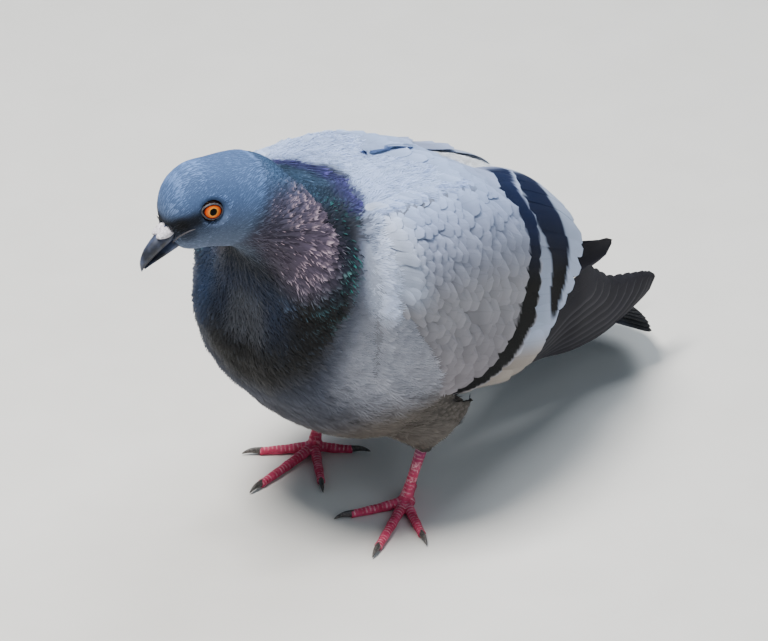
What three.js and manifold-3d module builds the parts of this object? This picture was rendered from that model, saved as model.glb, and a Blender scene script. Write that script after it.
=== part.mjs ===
// A feral rock dove that stands on both feet and turns its head to its right, as a life-size museum model.
// Millimetres, +Z up. The bird faces -Y, its left side is +X, and its soles are flat on Z = 0.
import * as THREE from 'three';
import { LoftGeometry } from 'three/addons/geometries/LoftGeometry.js';
import { mergeVertices } from 'three/addons/utils/BufferGeometryUtils.js';
import Module from 'manifold-3d';

const wasm = await Module();
wasm.setup();

// ---------------------------------------------------------------- driving dimensions
const GAP = 0.3; // air between two nodes that meet
const HEAD_TURN = THREE.MathUtils.degToRad(-19); // towards the bird's right
const NECK_PIVOT_AHEAD = 70; // the upright axis that the neck turns about

const EYE = {
  ahead: 92.0,
  up: 163.0,
  side: 10.7,
  radius: 5.3,
  opening: 3.75, // half the width of the eye that shows between the lids
  forward: 0.12, // how far the eyes look forward, as a slope
  steps: [14, 9],
};
const LID = { thickness: 0.95, steps: [16, 6] };
const MOUTH = { long: 7.7, rise: 0.5, height: 0.45, depth: 0.8 }; // the groove from the bill into the cheek
const NOSTRIL = { along: 3.2, side: 3.2, up: 3.5, long: 2.1, half: 0.45, slope: 0.15 };
const CERE = { lobe: [4.7, 2.5, 2.3], along: 1.5, side: 2.0, up: 4.5, slope: 0.14 };
const BILL = { ahead: 104.7, up: 147.8, pitch: THREE.MathUtils.degToRad(-35), root: -6 };

const SHANK = { hemUp: 24, top: 1.5, scutes: 6 }; // it shows up to the hem, and ends half as far again inside
const TOE_RADIUS = 2.15;
const SCUTE = { pitch: 5.6, raised: 0.4, step: 0.06 }; // a plate rises along its length and steps down
const BALL = { long: 4.4, wide: 3.9, tall: 2.9 }; // the pad under the ankle
const SOLE_FLAT = 0.25; // how far the soles are pressed flat
const CLAW = { length: 7.5, radius: 1.35 };

// The run of cross-sections from the root of the tail to the forehead. Each row has the section's place on
// the back and on the belly or throat (ahead, up), half its width, and how square it is below (2 is round).
const SECTIONS = [
  [-104, 84, -102, 52, 10, 2.0], // root of the tail
  [-92, 103, -88, 45, 24, 2.0],
  [-72, 119, -66, 38, 36, 2.1], // rump
  [-45, 131, -38, 33, 45, 2.3],
  [-15, 143, -8, 29, 50, 2.5], // deepest part of the belly
  [12, 150, 22, 29, 52, 2.5],
  [30, 154, 45, 42, 50, 2.3], // shoulders and crop
  [42, 158, 62, 62, 46, 2.1],
  [50, 162, 71, 84, 42, 2.0], // base of the neck
  [53, 167.5, 71.5, 106, 36.5, 2.0],
  [57, 172.5, 71.5, 122, 28.6, 2.0],
  [63, 176.5, 73.5, 132, 24, 2.0],
  [72, 178.6, 80, 138, 20.8, 2.0], // nape
  [83, 179, 89.5, 140.5, 17.6, 2.0],
  [95, 179.3, 98.5, 141.5, 15, 2.0], // over the eyes
  [104, 174.5, 103, 144, 11.5, 2.0], // forehead
  [108, 167, 105.5, 147.5, 8, 2.0],
  [109, 160, 106.5, 151, 4.8, 2.0], // face behind the bill
];
const NECK_BASE = 8; // a section's number in the run
const NAPE = 11.5;
const FACE = SECTIONS.length - 1;
const RING_POINTS = 28;
const BACK_FLATNESS = 1.8; // how much squarer a section is on the back than below

// The smooth outer form of the folded wings. Each row has its place ahead, its top and bottom, half its
// width, the angles of the wing's upper and lower edge from straight up, and the wing's thickness.
const WING_FORM = [
  [50, 143, 82, 47, 42, 116, 2],
  [42, 147, 74, 52, 36, 122, 6],
  [20, 150, 50, 57, 25, 135, 11],
  [-20, 144, 36, 55, 22, 142, 11],
  [-52, 129, 27.5, 48.5, 22, 143, 9],
  [-82, 113, 19.5, 40, 24, 140, 6],
  [-97, 97.5, 15, 37, 28, 138, 4],
  [-112, 78, 12, 33.5, 30, 136, 3.4],
  [-133, 58, 11, 28.5, 40, 130, 3],
  [-172, 43, 16.5, 21, 60, 112, 1.6],
];
const WING_SQUARENESS = 3;
const CORE_END = 5.25; // where the flesh of the wing ends, as a row number of its form

// The tiers of the wing's vanes, from the top of the stack down. A tier runs over angles from the wing's
// upper edge to its lower one. Each stop has the angle, the place of the tips and the vanes' length.
const TIERS = {
  scapular: { count: 3, width: 20, thickness: 0.9, sink: 1.4, lift: 1.1, roll: 0.6, drift: -2,
    stops: [[27, -6, 34], [33, -26, 36], [38, -42, 36], [44, -50, 34]] },
  median_covert: { count: 5, width: 19, thickness: 0.8, sink: 1.5, lift: 1.0, roll: 0.7, drift: -3,
    stops: [[50, -30, 28], [80, -32, 28], [105, -28, 27], [125, -16, 25], [138, -2, 22]] },
  greater_covert: { count: 7, width: 17, thickness: 0.8, sink: 1.6, lift: 0.8, roll: 0.8, drift: -3,
    stops: [[40, -64, 36], [65, -63, 36], [95, -61, 36], [118, -53, 34], [134, -38, 32], [145, -20, 28]] },
  secondary: { count: 8, width: 19, thickness: 0.8, sink: 2.0, lift: 0.4, roll: 1.1, drift: -2,
    stops: [[28, -107, 60], [50, -105, 58], [68, -103, 56], [84, -101, 54], [98, -94, 52], [114, -79, 46],
      [131, -64, 40], [146, -48, 34]] },
};
const PRIMARIES = { count: 6, width: 16, thickness: 0.6, pitch: 0.8, firstDepth: 1.0, rootAhead: -56,
  rootAngle: [112, 158], tipAhead: [-118, -174], tipAngle: [56, 100], sweep: 1.6 };

const TAIL = { rootAhead: -80, rootUp: 60, rootHalf: 11, tipAhead: -168, tipUp: 7, tipHalf: 27, rise: 3.5 };
const TAIL_LENGTH = 90;
const RECTRICES = { perSide: 6, width: 18, thickness: 0.6, pitch: 0.9, reach: 1.16 };

// Feet: place of the ankle (left, ahead), place where the shin leaves the thigh feathers, and each toe's
// heading in degrees from straight ahead towards the bird's left, with its length to the root of the claw.
const FLOOR_UP = -4.6; // the floor's level in the tables, which are laid out from the body
const FEET = {
  left: {
    ankle: [28.6, 5],
    shin: [31.5, -3],
    toes: [['inner', -28, 24], ['middle', 24, 37], ['outer', 57, 26], ['hind', -150, 16]],
  },
  right: {
    ankle: [-30.4, -4],
    shin: [-31.5, -12],
    toes: [['inner', 48, 28], ['middle', 5, 37], ['outer', -43, 23], ['hind', 130, 16]],
  },
};

// ---------------------------------------------------------------- helpers
const at = (left, ahead, up) => new THREE.Vector3(left, -ahead, up);
const { lerp } = THREE.MathUtils;
const power = (value, exponent) => Math.sign(value) * Math.abs(value) ** exponent;

function catmullRom(a, b, c, d, t) {
  const v0 = (c - a) / 2;
  const v1 = (d - b) / 2;
  return (2 * b - 2 * c + v0 + v1) * t ** 3 + (3 * c - 3 * b - 2 * v0 - v1) * t ** 2 + v0 * t + b;
}

// The row of a table at a place between two of its rows, on a smooth curve through them all.
function rowAt(table, place) {
  const last = table.length - 1;
  const low = Math.min(Math.floor(place), last - 1);
  const row = (i) => table[THREE.MathUtils.clamp(i, 0, last)];
  const [before, here, next, after] = [-1, 0, 1, 2].map((offset) => row(low + offset));
  return here.map((_, k) => catmullRom(before[k], here[k], next[k], after[k], place - low));
}

// The place in a table whose rows run backwards, where its first column has a value.
function placeOf(table, ahead) {
  let [low, high] = [0, table.length - 1];
  for (let i = 0; i < 24; i += 1) {
    const middle = (low + high) / 2;
    if (rowAt(table, middle)[0] > ahead) low = middle;
    else high = middle;
  }
  return (low + high) / 2;
}

// A row between the stops of a list, by a share from 0 to 1 of the whole list.
function stopAt(stops, share) {
  return rowAt(stops, share * (stops.length - 1));
}

function steps(from, to, count) {
  return Array.from({ length: count + 1 }, (_, i) => from + ((to - from) * i) / count);
}

// A closed geometry as a solid, with its shared vertices merged and its faces turned outwards.
function solid(geometry) {
  const bare = new THREE.BufferGeometry();
  bare.setAttribute('position', geometry.getAttribute('position'));
  bare.setIndex(geometry.index);
  const merged = mergeVertices(bare, 1e-4);
  const places = merged.getAttribute('position');
  const corner = (i) => new THREE.Vector3().fromBufferAttribute(places, i);
  const faces = [];
  let volume = 0;
  for (let i = 0; i < merged.index.count; i += 3) {
    const [a, b, c] = [0, 1, 2].map((k) => merged.index.getX(i + k));
    if (a === b || b === c || a === c) continue;
    faces.push([a, b, c]);
    volume += corner(a).dot(corner(b).cross(corner(c)));
  }
  const triVerts = new Uint32Array(faces.map((face) => (volume < 0 ? face.reverse() : face)).flat());
  return new wasm.Manifold(new wasm.Mesh({ numProp: 3, vertProperties: places.array, triVerts }));
}

// The largest closed body of a solid.
function largest(shape) {
  return shape.decompose().reduce((best, piece) => (piece.volume() > best.volume() ? piece : best));
}

function geometryOf(shape) {
  const mesh = shape.getMesh();
  const geometry = new THREE.BufferGeometry();
  geometry.setAttribute('position', new THREE.BufferAttribute(mesh.vertProperties, 3));
  geometry.setIndex(new THREE.BufferAttribute(mesh.triVerts, 1));
  geometry.computeVertexNormals();
  return geometry;
}

const join = (shapes) => shapes.reduce((whole, shape) => whole.add(shape));

// A closed body through rings of points, capped at both ends, with its sides turned outwards as its caps.
function loft(rings, frame = new THREE.Matrix4()) {
  const sum = (ring) => ring.reduce((total, point) => total.add(point), new THREE.Vector3());
  const middle = (ring) => sum(ring).divideScalar(ring.length);
  const [first, last] = [middle(rings[0]), middle(rings.at(-1))];
  const spin = new THREE.Vector3();
  rings[0].forEach((point, i) => {
    const next = rings[0][(i + 1) % rings[0].length];
    spin.add(point.clone().sub(first).cross(next.clone().sub(first)));
  });
  const ordered = spin.dot(last.sub(first)) > 0 ? rings : rings.map((ring) => [...ring].reverse());
  const geometry = new LoftGeometry(ordered, { closed: true, capStart: true, capEnd: true });
  return solid(geometry.applyMatrix4(frame));
}

// A thin closed body between two grids of points, both faces split into triangles alike.
function slab(top, bottom) {
  const rows = top.length;
  const columns = top[0].length;
  const points = [...top.flat(), ...bottom.flat()];
  const index = (side, row, column) => side * rows * columns + row * columns + column;
  const faces = [];
  const quad = (a, b, c, d) => faces.push(a, b, c, a, c, d);
  for (let r = 0; r < rows - 1; r += 1) {
    for (let c = 0; c < columns - 1; c += 1) {
      quad(index(0, r, c), index(0, r + 1, c), index(0, r + 1, c + 1), index(0, r, c + 1));
      const [a, b, d, e] = [index(1, r, c), index(1, r + 1, c), index(1, r + 1, c + 1), index(1, r, c + 1)];
      faces.push(a, d, b, a, e, d);
    }
    quad(index(0, r, 0), index(1, r, 0), index(1, r + 1, 0), index(0, r + 1, 0));
    const end = columns - 1;
    quad(index(0, r + 1, end), index(1, r + 1, end), index(1, r, end), index(0, r, end));
  }
  for (let c = 0; c < columns - 1; c += 1) {
    quad(index(0, 0, c + 1), index(1, 0, c + 1), index(1, 0, c), index(0, 0, c));
    const end = rows - 1;
    quad(index(0, end, c), index(1, end, c), index(1, end, c + 1), index(0, end, c + 1));
  }
  const geometry = new THREE.BufferGeometry().setFromPoints(points);
  geometry.setIndex(faces);
  return solid(geometry);
}

// A slab from a grid that holds a pair of points, the upper and the lower one, at each place.
function slabOfPairs(rows) {
  const face = (k) => rows.map((row) => row.map((pair) => pair[k]));
  return slab(face(0), face(1));
}

// A ring of points round a centre, in the plane of two half-axes.
function ring(centre, halfUp, halfSide, count, squareness = () => 2) {
  return Array.from({ length: count }, (_, i) => {
    const angle = (2 * Math.PI * i) / count;
    const exponent = 2 / squareness(Math.cos(angle));
    return centre
      .clone()
      .addScaledVector(halfUp, power(Math.cos(angle), exponent))
      .addScaledVector(halfSide, power(Math.sin(angle), exponent));
  });
}

// A round tube through points, with a radius at each.
function tube(points, radii, count = 10) {
  const curve = new THREE.CatmullRomCurve3(points);
  const rings = points.map((point, i) => {
    const along = curve.getTangent(i / (points.length - 1));
    const side = new THREE.Vector3(0, 0, 1).cross(along);
    if (side.length() < 0.1) side.set(1, 0, 0);
    side.normalize();
    const up = along.clone().cross(side);
    return ring(point, up.multiplyScalar(radii[i]), side.multiplyScalar(radii[i]), count);
  });
  return loft(rings);
}

// ---------------------------------------------------------------- body, neck and head
// How far a section of the run has turned with the head, from 0 to 1.
const turnAt = (place) => THREE.MathUtils.smoothstep(place, NECK_BASE - 1, NAPE + 1.5);

function turned(point, share = 1) {
  const pivot = at(0, NECK_PIVOT_AHEAD, 0);
  return point.clone().sub(pivot).applyAxisAngle(new THREE.Vector3(0, 0, 1), HEAD_TURN * share).add(pivot);
}

function bodyRing(place, grow = 0) {
  const [backAhead, backUp, frontAhead, frontUp, half, squareness] = rowAt(SECTIONS, place);
  const back = at(0, backAhead, backUp);
  const front = at(0, frontAhead, frontUp);
  const halfUp = back.clone().sub(front).divideScalar(2);
  halfUp.setLength(halfUp.length() + grow);
  const centre = back.add(front).divideScalar(2);
  const backSquareness = 2 + BACK_FLATNESS * (squareness - 2);
  const points = ring(centre, halfUp, at(half + grow, 0, 0), RING_POINTS, (c) => (c < 0 ? squareness : backSquareness));
  return points.map((point) => turned(point, turnAt(place)));
}

// A ring moved along its own plane's normal, away from its neighbour, or towards it by a negative distance.
function movedRing(flat, neighbour, distance) {
  const [a, b, c] = [0, 1, 2].map((k) => flat[Math.floor((k * flat.length) / 3)]);
  const normal = b.clone().sub(a).cross(c.clone().sub(a)).normalize();
  if (normal.dot(neighbour[0].clone().sub(a)) > 0) normal.negate();
  return flat.map((point) => point.clone().addScaledVector(normal, distance));
}

// A length of the run, grown all over, with its first and last ring moved outwards.
function bodyLength(from, to, count, grow = 0, startOut = grow, endOut = grow) {
  const rings = steps(from, to, count).map((place) => bodyRing(place, grow));
  const first = movedRing(rings[0], rings[1], startOut);
  const last = movedRing(rings.at(-1), rings.at(-2), endOut);
  return [first, ...rings.slice(1, -1), last];
}

const torso = loft(bodyLength(0, NECK_BASE, 24));
const torsoGrown = loft(bodyLength(0, NECK_BASE + 1, 27, GAP));
const neck = loft(bodyLength(NECK_BASE, NAPE, 8, 0, -GAP));
const headCore = loft(bodyLength(NAPE, FACE, 20, 0, -GAP));
const headGrown = loft(bodyLength(NAPE, FACE, 20, GAP));

// Eyes: a ball in a socket, inside a raised ring of lid.
function eyeFrame(side) {
  const frame = new THREE.Matrix4();
  const outward = turned(at(side, EYE.forward, 0.06)).sub(turned(at(0, 0, 0))).normalize();
  const up = new THREE.Vector3(0, 0, 1);
  const along = up.clone().cross(outward).normalize();
  frame.makeBasis(along, outward, outward.clone().cross(along).negate());
  return frame.setPosition(turned(at(side * EYE.side, EYE.ahead, EYE.up)));
}

function eyeBall(side, radius) {
  return solid(new THREE.SphereGeometry(radius, ...EYE.steps).applyMatrix4(eyeFrame(side)));
}

function lid(side) {
  const height = Math.sqrt(EYE.radius ** 2 - EYE.opening ** 2);
  const profile = steps(0, 2 * Math.PI, LID.steps[1]).map((angle) => new THREE.Vector2(
    EYE.opening + LID.thickness * (1 + Math.cos(angle)),
    height + LID.thickness * (Math.sin(angle) - 0.35),
  ));
  return solid(new THREE.LatheGeometry(profile, LID.steps[0]).applyMatrix4(eyeFrame(side)));
}

// The bill is laid out along its own axis: x forwards from its root, z up, y to the side.
function billFrame() {
  const frame = new THREE.Matrix4();
  const forward = turned(at(0, Math.cos(BILL.pitch), Math.sin(BILL.pitch))).sub(turned(at(0, 0, 0)));
  const side = turned(at(1, 0, 0)).sub(turned(at(0, 0, 0)));
  frame.makeBasis(forward, side, forward.clone().cross(side));
  return frame.setPosition(turned(at(0, BILL.ahead, BILL.up)));
}

// Each row has the place along the bill, the top and bottom there, and half the width.
const UPPER_BILL = [[BILL.root, 5.6, 0, 5], [0, 5.2, 0, 4.6], [4.5, 4.5, -0.1, 3.7], [9, 3.8, -0.2, 3],
  [12.5, 2.9, -0.4, 2.4], [15.8, 1.4, -1, 1.6], [17.8, -0.4, -2, 0.9], [18.8, -1.8, -2.6, 0.35]];
const LOWER_BILL = [[BILL.root, -0.5, -5.2, 4.4], [0, -0.4, -4.4, 4], [5, -0.5, -3.4, 3.1],
  [9.5, -0.6, -2.8, 2.3], [13, -0.8, -2.2, 1.6], [15.6, -1.5, -2.1, 0.8]];

function billSolid(table, gape = 0) {
  const rings = table.map(([along, top, bottom, half]) => ring(
    new THREE.Vector3(along, 0, (top + bottom) / 2 - gape),
    new THREE.Vector3(0, 0, (top - bottom) / 2),
    new THREE.Vector3(0, half, 0),
    12,
  ));
  return loft(rings, billFrame());
}

// The corner of the mouth reaches back into the cheek as a groove.
const slit = solid(new THREE.BoxGeometry(MOUTH.long, 40, MOUTH.height)
  .translate(-MOUTH.long / 2, 0, 0)
  .rotateY(Math.atan2(MOUTH.rise, MOUTH.long))
  .applyMatrix4(billFrame()));
const mouthLine = slit.subtract(loft(bodyLength(NAPE, FACE, 20, -MOUTH.depth, 0, 0)));

const head = [1, -1].reduce(
  (shape, side) => shape.add(lid(side)).subtract(eyeBall(side, EYE.radius + GAP)),
  headCore.subtract(mouthLine),
);

const nostrils = join([1, -1].map((side) => {
  const { along, up, long, half, slope } = NOSTRIL;
  const slot = new THREE.SphereGeometry(1, 6, 4).scale(long, half, half).rotateY(slope);
  return solid(slot.translate(along, side * NOSTRIL.side, up).applyMatrix4(billFrame()));
}));

const billUpper = largest(billSolid(UPPER_BILL).subtract(headGrown).subtract(nostrils));
const billLower = largest(billSolid(LOWER_BILL).subtract(headGrown).subtract(billSolid(UPPER_BILL)));

function cereLobe(side) {
  const lobe = new THREE.SphereGeometry(1, 12, 8).scale(...CERE.lobe).rotateY(CERE.slope);
  return solid(lobe.translate(CERE.along, side * CERE.side, CERE.up).applyMatrix4(billFrame()));
}
const grownRow = ([along, top, bottom, half]) => [along, top + GAP, bottom - GAP, half + GAP];
const billRoom = join([headGrown, billSolid(UPPER_BILL.map(grownRow)), nostrils]);
const cere = largest(cereLobe(1).add(cereLobe(-1)).subtract(billRoom));

// ---------------------------------------------------------------- wings
function formPoint(row, degrees, depth, side) {
  const [ahead, top, bottom, half] = row;
  const angle = THREE.MathUtils.degToRad(degrees);
  const exponent = 2 / WING_SQUARENESS;
  const tall = (top - bottom) / 2;
  const out = (half - depth) * power(Math.sin(angle), exponent);
  return at(side * out, ahead, (top + bottom) / 2 + (tall - depth) * power(Math.cos(angle), exponent));
}

// The flesh of the wing: a curved shell that thins towards its edges.
function wingCore(side) {
  const places = steps(0, CORE_END, 9);
  const shares = steps(0, 1, 6);
  const face = (inner) => places.map((place) => {
    const row = rowAt(WING_FORM, place);
    const [upper, lower, thickness] = row.slice(4);
    return shares.map((share) => {
      const rim = 1 - 0.55 * Math.abs(2 * share - 1) ** 3;
      const depth = inner ? thickness * rim + 0.4 : 0.4 * (1 - rim);
      return formPoint(row, lerp(upper, lower, share), depth, side);
    });
  });
  return slab(face(false), face(true));
}

// The room that the wing and its vanes take, which the thighs are cut by.
function wingRoom(side) {
  const places = steps(1, CORE_END, 8);
  const face = (inner) => places.map((place) => {
    const row = rowAt(WING_FORM, place);
    return steps(90, row[5] + 22, 6).map((angle) => formPoint(row, angle, inner ? row[6] + 1 : -2.5, side));
  });
  return slab(face(false), face(true));
}

// A point of the wing's form by its place ahead and angle, with the outward direction there.
function wingSurface(ahead, degrees, side) {
  const pointAt = (from, angle) => formPoint(rowAt(WING_FORM, placeOf(WING_FORM, from)), angle, 0, side);
  const along = pointAt(ahead - 1, degrees).sub(pointAt(ahead + 1, degrees));
  const around = pointAt(ahead, degrees + 1).sub(pointAt(ahead, degrees - 1));
  const outward = around.cross(along).normalize();
  if (outward.x * side < 0) outward.negate();
  return { point: pointAt(ahead, degrees), outward };
}

// A flat feather: rows of two points across, on a line that a function gives, with its width along it.
const VANE_ROWS = [0, 0.45, 0.86, 1];
const VANE_WIDTHS = [0.7, 1, 0.85, 0.3];

function vane(lineAt, width, thickness, roll) {
  const line = VANE_ROWS.map(lineAt);
  const rows = line.map(({ point, outward }, i) => {
    const [before, after] = [line[Math.max(i - 1, 0)], line[Math.min(i + 1, line.length - 1)]];
    const along = after.point.clone().sub(before.point).normalize();
    const across = outward.clone().cross(along).normalize();
    const up = along.clone().cross(across).normalize();
    if (up.dot(outward) < 0) up.negate();
    const half = (width * VANE_WIDTHS[i]) / 2;
    return [-1, 1].map((edge) => {
      const out = point.clone().addScaledVector(across, edge * half).addScaledVector(up, edge * roll);
      return [out, out.clone().addScaledVector(up, -thickness)];
    });
  });
  return slabOfPairs(rows);
}

function tierVanes(tier, side) {
  return steps(0, 1, tier.count - 1).map((share) => {
    const [angle, tip, long] = stopAt(tier.stops, share);
    const lineAt = (s) => {
      const { point, outward } = wingSurface(tip + long * (1 - s), angle + tier.drift * (1 - s), side);
      return { point: point.addScaledVector(outward, lerp(-tier.sink, tier.lift, s)), outward };
    };
    return vane(lineAt, tier.width, tier.thickness, side * tier.roll);
  });
}

// Primaries lie under the secondaries, each a layer deeper and reaching further back than the last.
function primaries(side) {
  const { count, width, thickness, pitch, firstDepth, rootAhead, rootAngle, tipAhead, tipAngle, sweep } = PRIMARIES;
  return steps(0, 1, count - 1).map((share, layer) => {
    const lineAt = (s) => {
      const tip = lerp(...tipAhead, share ** 0.7);
      const angle = lerp(lerp(...rootAngle, share), lerp(...tipAngle, share), s ** sweep);
      const { point, outward } = wingSurface(lerp(rootAhead, tip, s), angle, side);
      return { point: point.addScaledVector(outward, -firstDepth - layer * pitch), outward };
    };
    return vane(lineAt, width, thickness, 0);
  });
}

const wing = (side) => {
  const vanes = [...Object.values(TIERS).flatMap((tier) => tierVanes(tier, side)), ...primaries(side)];
  return largest(join([wingCore(side), ...vanes]).subtract(torsoGrown).subtract(tailRoom));
};

// ---------------------------------------------------------------- tail
// A point of the tail's upper face: across from -1 to 1, share from its root to its tip.
function tailPoint(across, share, depth) {
  const half = lerp(TAIL.rootHalf, TAIL.tipHalf, share);
  const ahead = lerp(TAIL.rootAhead, TAIL.tipAhead, share);
  const up = lerp(TAIL.rootUp, TAIL.tipUp, share);
  return at(across * half, ahead, up + TAIL.rise * (1 - across ** 2) - depth);
}

// One tail feather. The ones beside the middle pair stop at the midline, under it.
function rectrix(side, number) {
  const { perSide, width, thickness, pitch } = RECTRICES;
  const depth = pitch * (number === 0 ? (1 - side) / 2 : number + 1);
  const across = (side * (0.12 + (0.64 * number) / (perSide - 1)));
  const reach = 1 - 0.012 * number ** 1.5;
  const inner = number === 0 ? -1 : 0.01;
  const rows = VANE_ROWS.map((s, i) => {
    const share = s * reach;
    const half = lerp(TAIL.rootHalf, TAIL.tipHalf, share);
    const spread = (width * lerp(0.5, 1, share) * VANE_WIDTHS[i]) / 2 / half;
    return [Math.max(side * across - spread, inner), side * across + spread].map((place) => side * place)
      .map((place) => [tailPoint(place, share, depth), tailPoint(place, share, depth + thickness)]);
  });
  return slabOfPairs(rows);
}

// The tail coverts round the roots of the feathers.
function tailRoot(grow = 0) {
  const last = 0.45 + grow / TAIL_LENGTH;
  const sections = [[0, 10, 7], [0.1, 12, 7.5], [0.22, 12.5, 6], [0.34, 12.5, 4.4], [last, 11, 3]];
  return loft(sections.map(([share, wide, tall]) => ring(
    tailPoint(0, share, 3),
    at(0, 0.5 * (tall + grow), 0.86 * (tall + grow)),
    at(wide + grow, 0, 0),
    14,
  )));
}

const tailBox = (grow) => {
  const rows = steps(0, 1 + grow / TAIL_LENGTH, 6);
  const across = steps(-RECTRICES.reach, RECTRICES.reach, 6);
  const face = (depth) => rows.map((share) => across.map((place) => tailPoint(place, share, depth)));
  return slab(face(-grow), face(RECTRICES.pitch * (RECTRICES.perSide + 1) + grow));
};
const tailRoom = tailBox(GAP * 1.6).add(tailRoot(GAP * 2));
const rectrixNumbers = Array.from({ length: RECTRICES.perSide }, (_, n) => n);
const tailVanes = [1, -1].flatMap((side) => rectrixNumbers.map((number) => rectrix(side, number)));
const tail = largest(join([tailRoot(), ...tailVanes]).subtract(torsoGrown));

// ---------------------------------------------------------------- legs
const FLOOR = solid(new THREE.BoxGeometry(800, 800, 100).translate(0, 0, FLOOR_UP - 50));

// The feathered thigh: up, shift of its middle behind the shin, half its length and half its width.
const THIGH_SECTIONS = [[62, -3, 24, 13], [50, -3, 27, 15], [38, -3, 26, 13.5], [31, -3.5, 21.5, 11],
  [26.5, -2.5, 14.5, 8], [23.5, -0.5, 6, 5.2], [20, 0, 4.5, 4.4]];

function thigh(side) {
  const { shin } = FEET[side];
  return loft(THIGH_SECTIONS.map(([up, shift, long, wide]) => ring(
    at(shin[0], shin[1] + shift, up),
    at(0, long, 0),
    at(wide, 0, 0),
    16,
  )));
}

// A tube with raised plates on its back, each of which overlaps the root of the next.
function scutedTube(points, radii, back, count, sides) {
  const curve = new THREE.CatmullRomCurve3(points);
  const stations = steps(0, count - 1, count - 1)
    .flatMap((n) => [[n / count, 0], [(n + 1 - SCUTE.step) / count, SCUTE.raised]]);
  return loft([...stations, [1, 0]].map(([share, raised]) => {
    const along = curve.getTangentAt(share);
    const up = back.clone().addScaledVector(along, -back.dot(along)).normalize();
    const side = along.clone().cross(up);
    const radius = rowAt(radii.map((value) => [value]), share * (radii.length - 1))[0];
    return steps(0, 2 * Math.PI, sides).slice(1).map((angle) => {
      const reach = radius + (Math.cos(angle) > -0.1 ? raised : 0);
      const point = curve.getPointAt(share).addScaledVector(up, reach * Math.cos(angle));
      return point.addScaledVector(side, reach * Math.sin(angle));
    });
  }));
}

function toe(ankle, [, heading, length]) {
  const angle = THREE.MathUtils.degToRad(heading);
  const line = steps(0, 1, 4).map((share) => at(
    ankle[0] + Math.sin(angle) * length * share,
    ankle[1] + Math.cos(angle) * length * share,
    FLOOR_UP + TOE_RADIUS * (1 - 0.2 * share) - SOLE_FLAT + 1.4 * (1 - share) ** 3,
  ));
  const radii = steps(1.12, 0.8, 2).map((share) => TOE_RADIUS * share);
  return scutedTube(line, radii, new THREE.Vector3(0, 0, 1), Math.round(length / SCUTE.pitch), 8);
}

function shank(side, grow = 0) {
  const { ankle, shin } = FEET[side];
  const heel = at(ankle[0], ankle[1], FLOOR_UP + TOE_RADIUS + 2);
  const hem = at(shin[0], shin[1], SHANK.hemUp);
  const line = steps(SHANK.top, 0, 3).map((share) => heel.clone().lerp(hem, share));
  const radii = [2.9, 2.8, 2.4, 2.6, 2.9].map((radius) => radius + grow);
  return scutedTube(line, radii, at(0, 1, 0), SHANK.scutes, 8);
}

function leg(side) {
  const { ankle, toes } = FEET[side];
  const pieces = toes.map((digit) => toe(ankle, digit));
  const pad = new THREE.SphereGeometry(1, 12, 8).scale(BALL.wide, BALL.long, BALL.tall);
  const under = at(ankle[0], ankle[1], FLOOR_UP + BALL.tall - SOLE_FLAT);
  const ball = solid(pad.translate(under.x, under.y, under.z));
  return largest(join([shank(side), ball, ...pieces]).subtract(FLOOR).subtract(torsoGrown));
}

function claw(side, [, heading, length]) {
  const { ankle } = FEET[side];
  const angle = THREE.MathUtils.degToRad(heading);
  const line = steps(0, 1, 3).map((share) => at(
    ankle[0] + Math.sin(angle) * (length + GAP + CLAW.length * share),
    ankle[1] + Math.cos(angle) * (length + GAP + CLAW.length * share),
    FLOOR_UP + 1.9 + 0.7 * Math.sin(Math.PI * share) - 1.2 * share,
  ));
  return tube(line, steps(1, 0.15, 3).map((share) => CLAW.radius * share), 6);
}

// ---------------------------------------------------------------- assembly
const COLOURS = {
  feather: { color: 0x8d929c, roughness: 0.8, metalness: 0 },
  breast: { color: 0x4f5560, roughness: 0.75, metalness: 0 },
  slate: { color: 0x4a5768, roughness: 0.75, metalness: 0 },
  tail: { color: 0x3a3d45, roughness: 0.7, metalness: 0 },
  bill: { color: 0x33363c, roughness: 0.45, metalness: 0 },
  cere: { color: 0xd9cfc8, roughness: 0.8, metalness: 0 },
  eye: { color: 0xd05a18, roughness: 0.1, metalness: 0 },
  skin: { color: 0xb3414f, roughness: 0.6, metalness: 0 },
  claw: { color: 0x2b2827, roughness: 0.5, metalness: 0 },
};

const pigeon = new THREE.Group();
function place(name, shape, finish) {
  const mesh = new THREE.Mesh(geometryOf(shape), new THREE.MeshStandardMaterial(COLOURS[finish]));
  mesh.name = name;
  pigeon.add(mesh);
}

place('torso', torso, 'feather');
place('neck', neck, 'breast');
place('head', largest(head), 'slate');
place('bill_upper', billUpper, 'bill');
place('bill_lower', billLower, 'bill');
place('cere', cere, 'cere');
place('tail', tail, 'tail');
for (const [name, side] of [['left', 1], ['right', -1]]) {
  place(`eye_${name}`, eyeBall(side, EYE.radius), 'eye');
  place(`wing_${name}`, wing(side), 'feather');
  const sleeve = thigh(name).subtract(join([torsoGrown, wingRoom(side), shank(name, GAP)]));
  place(`thigh_${name}`, largest(sleeve), 'feather');
  place(`leg_${name}`, leg(name), 'skin');
  FEET[name].toes.forEach((toe) => place(`claw_${name}_${toe[0]}`, claw(name, toe), 'claw'));
}

// The middle of the whole model's box stands over the origin, with the soles on Z = 0.
const box = new THREE.Box3().setFromObject(pigeon, true);
const middle = box.getCenter(new THREE.Vector3());
pigeon.position.set(-middle.x, -middle.y, -FLOOR_UP);

export default pigeon;
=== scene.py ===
"""A feral rock dove at life size, made as a museum model is: one skin under a coat of small feathers, with
the vanes of the wings and tail laid over it in tiers. Shapes are laid out in millimetres on the bird's own
axes (x to its left, y behind it, z up) and put in the frame as each mesh is made."""
import heapq
import math

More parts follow.
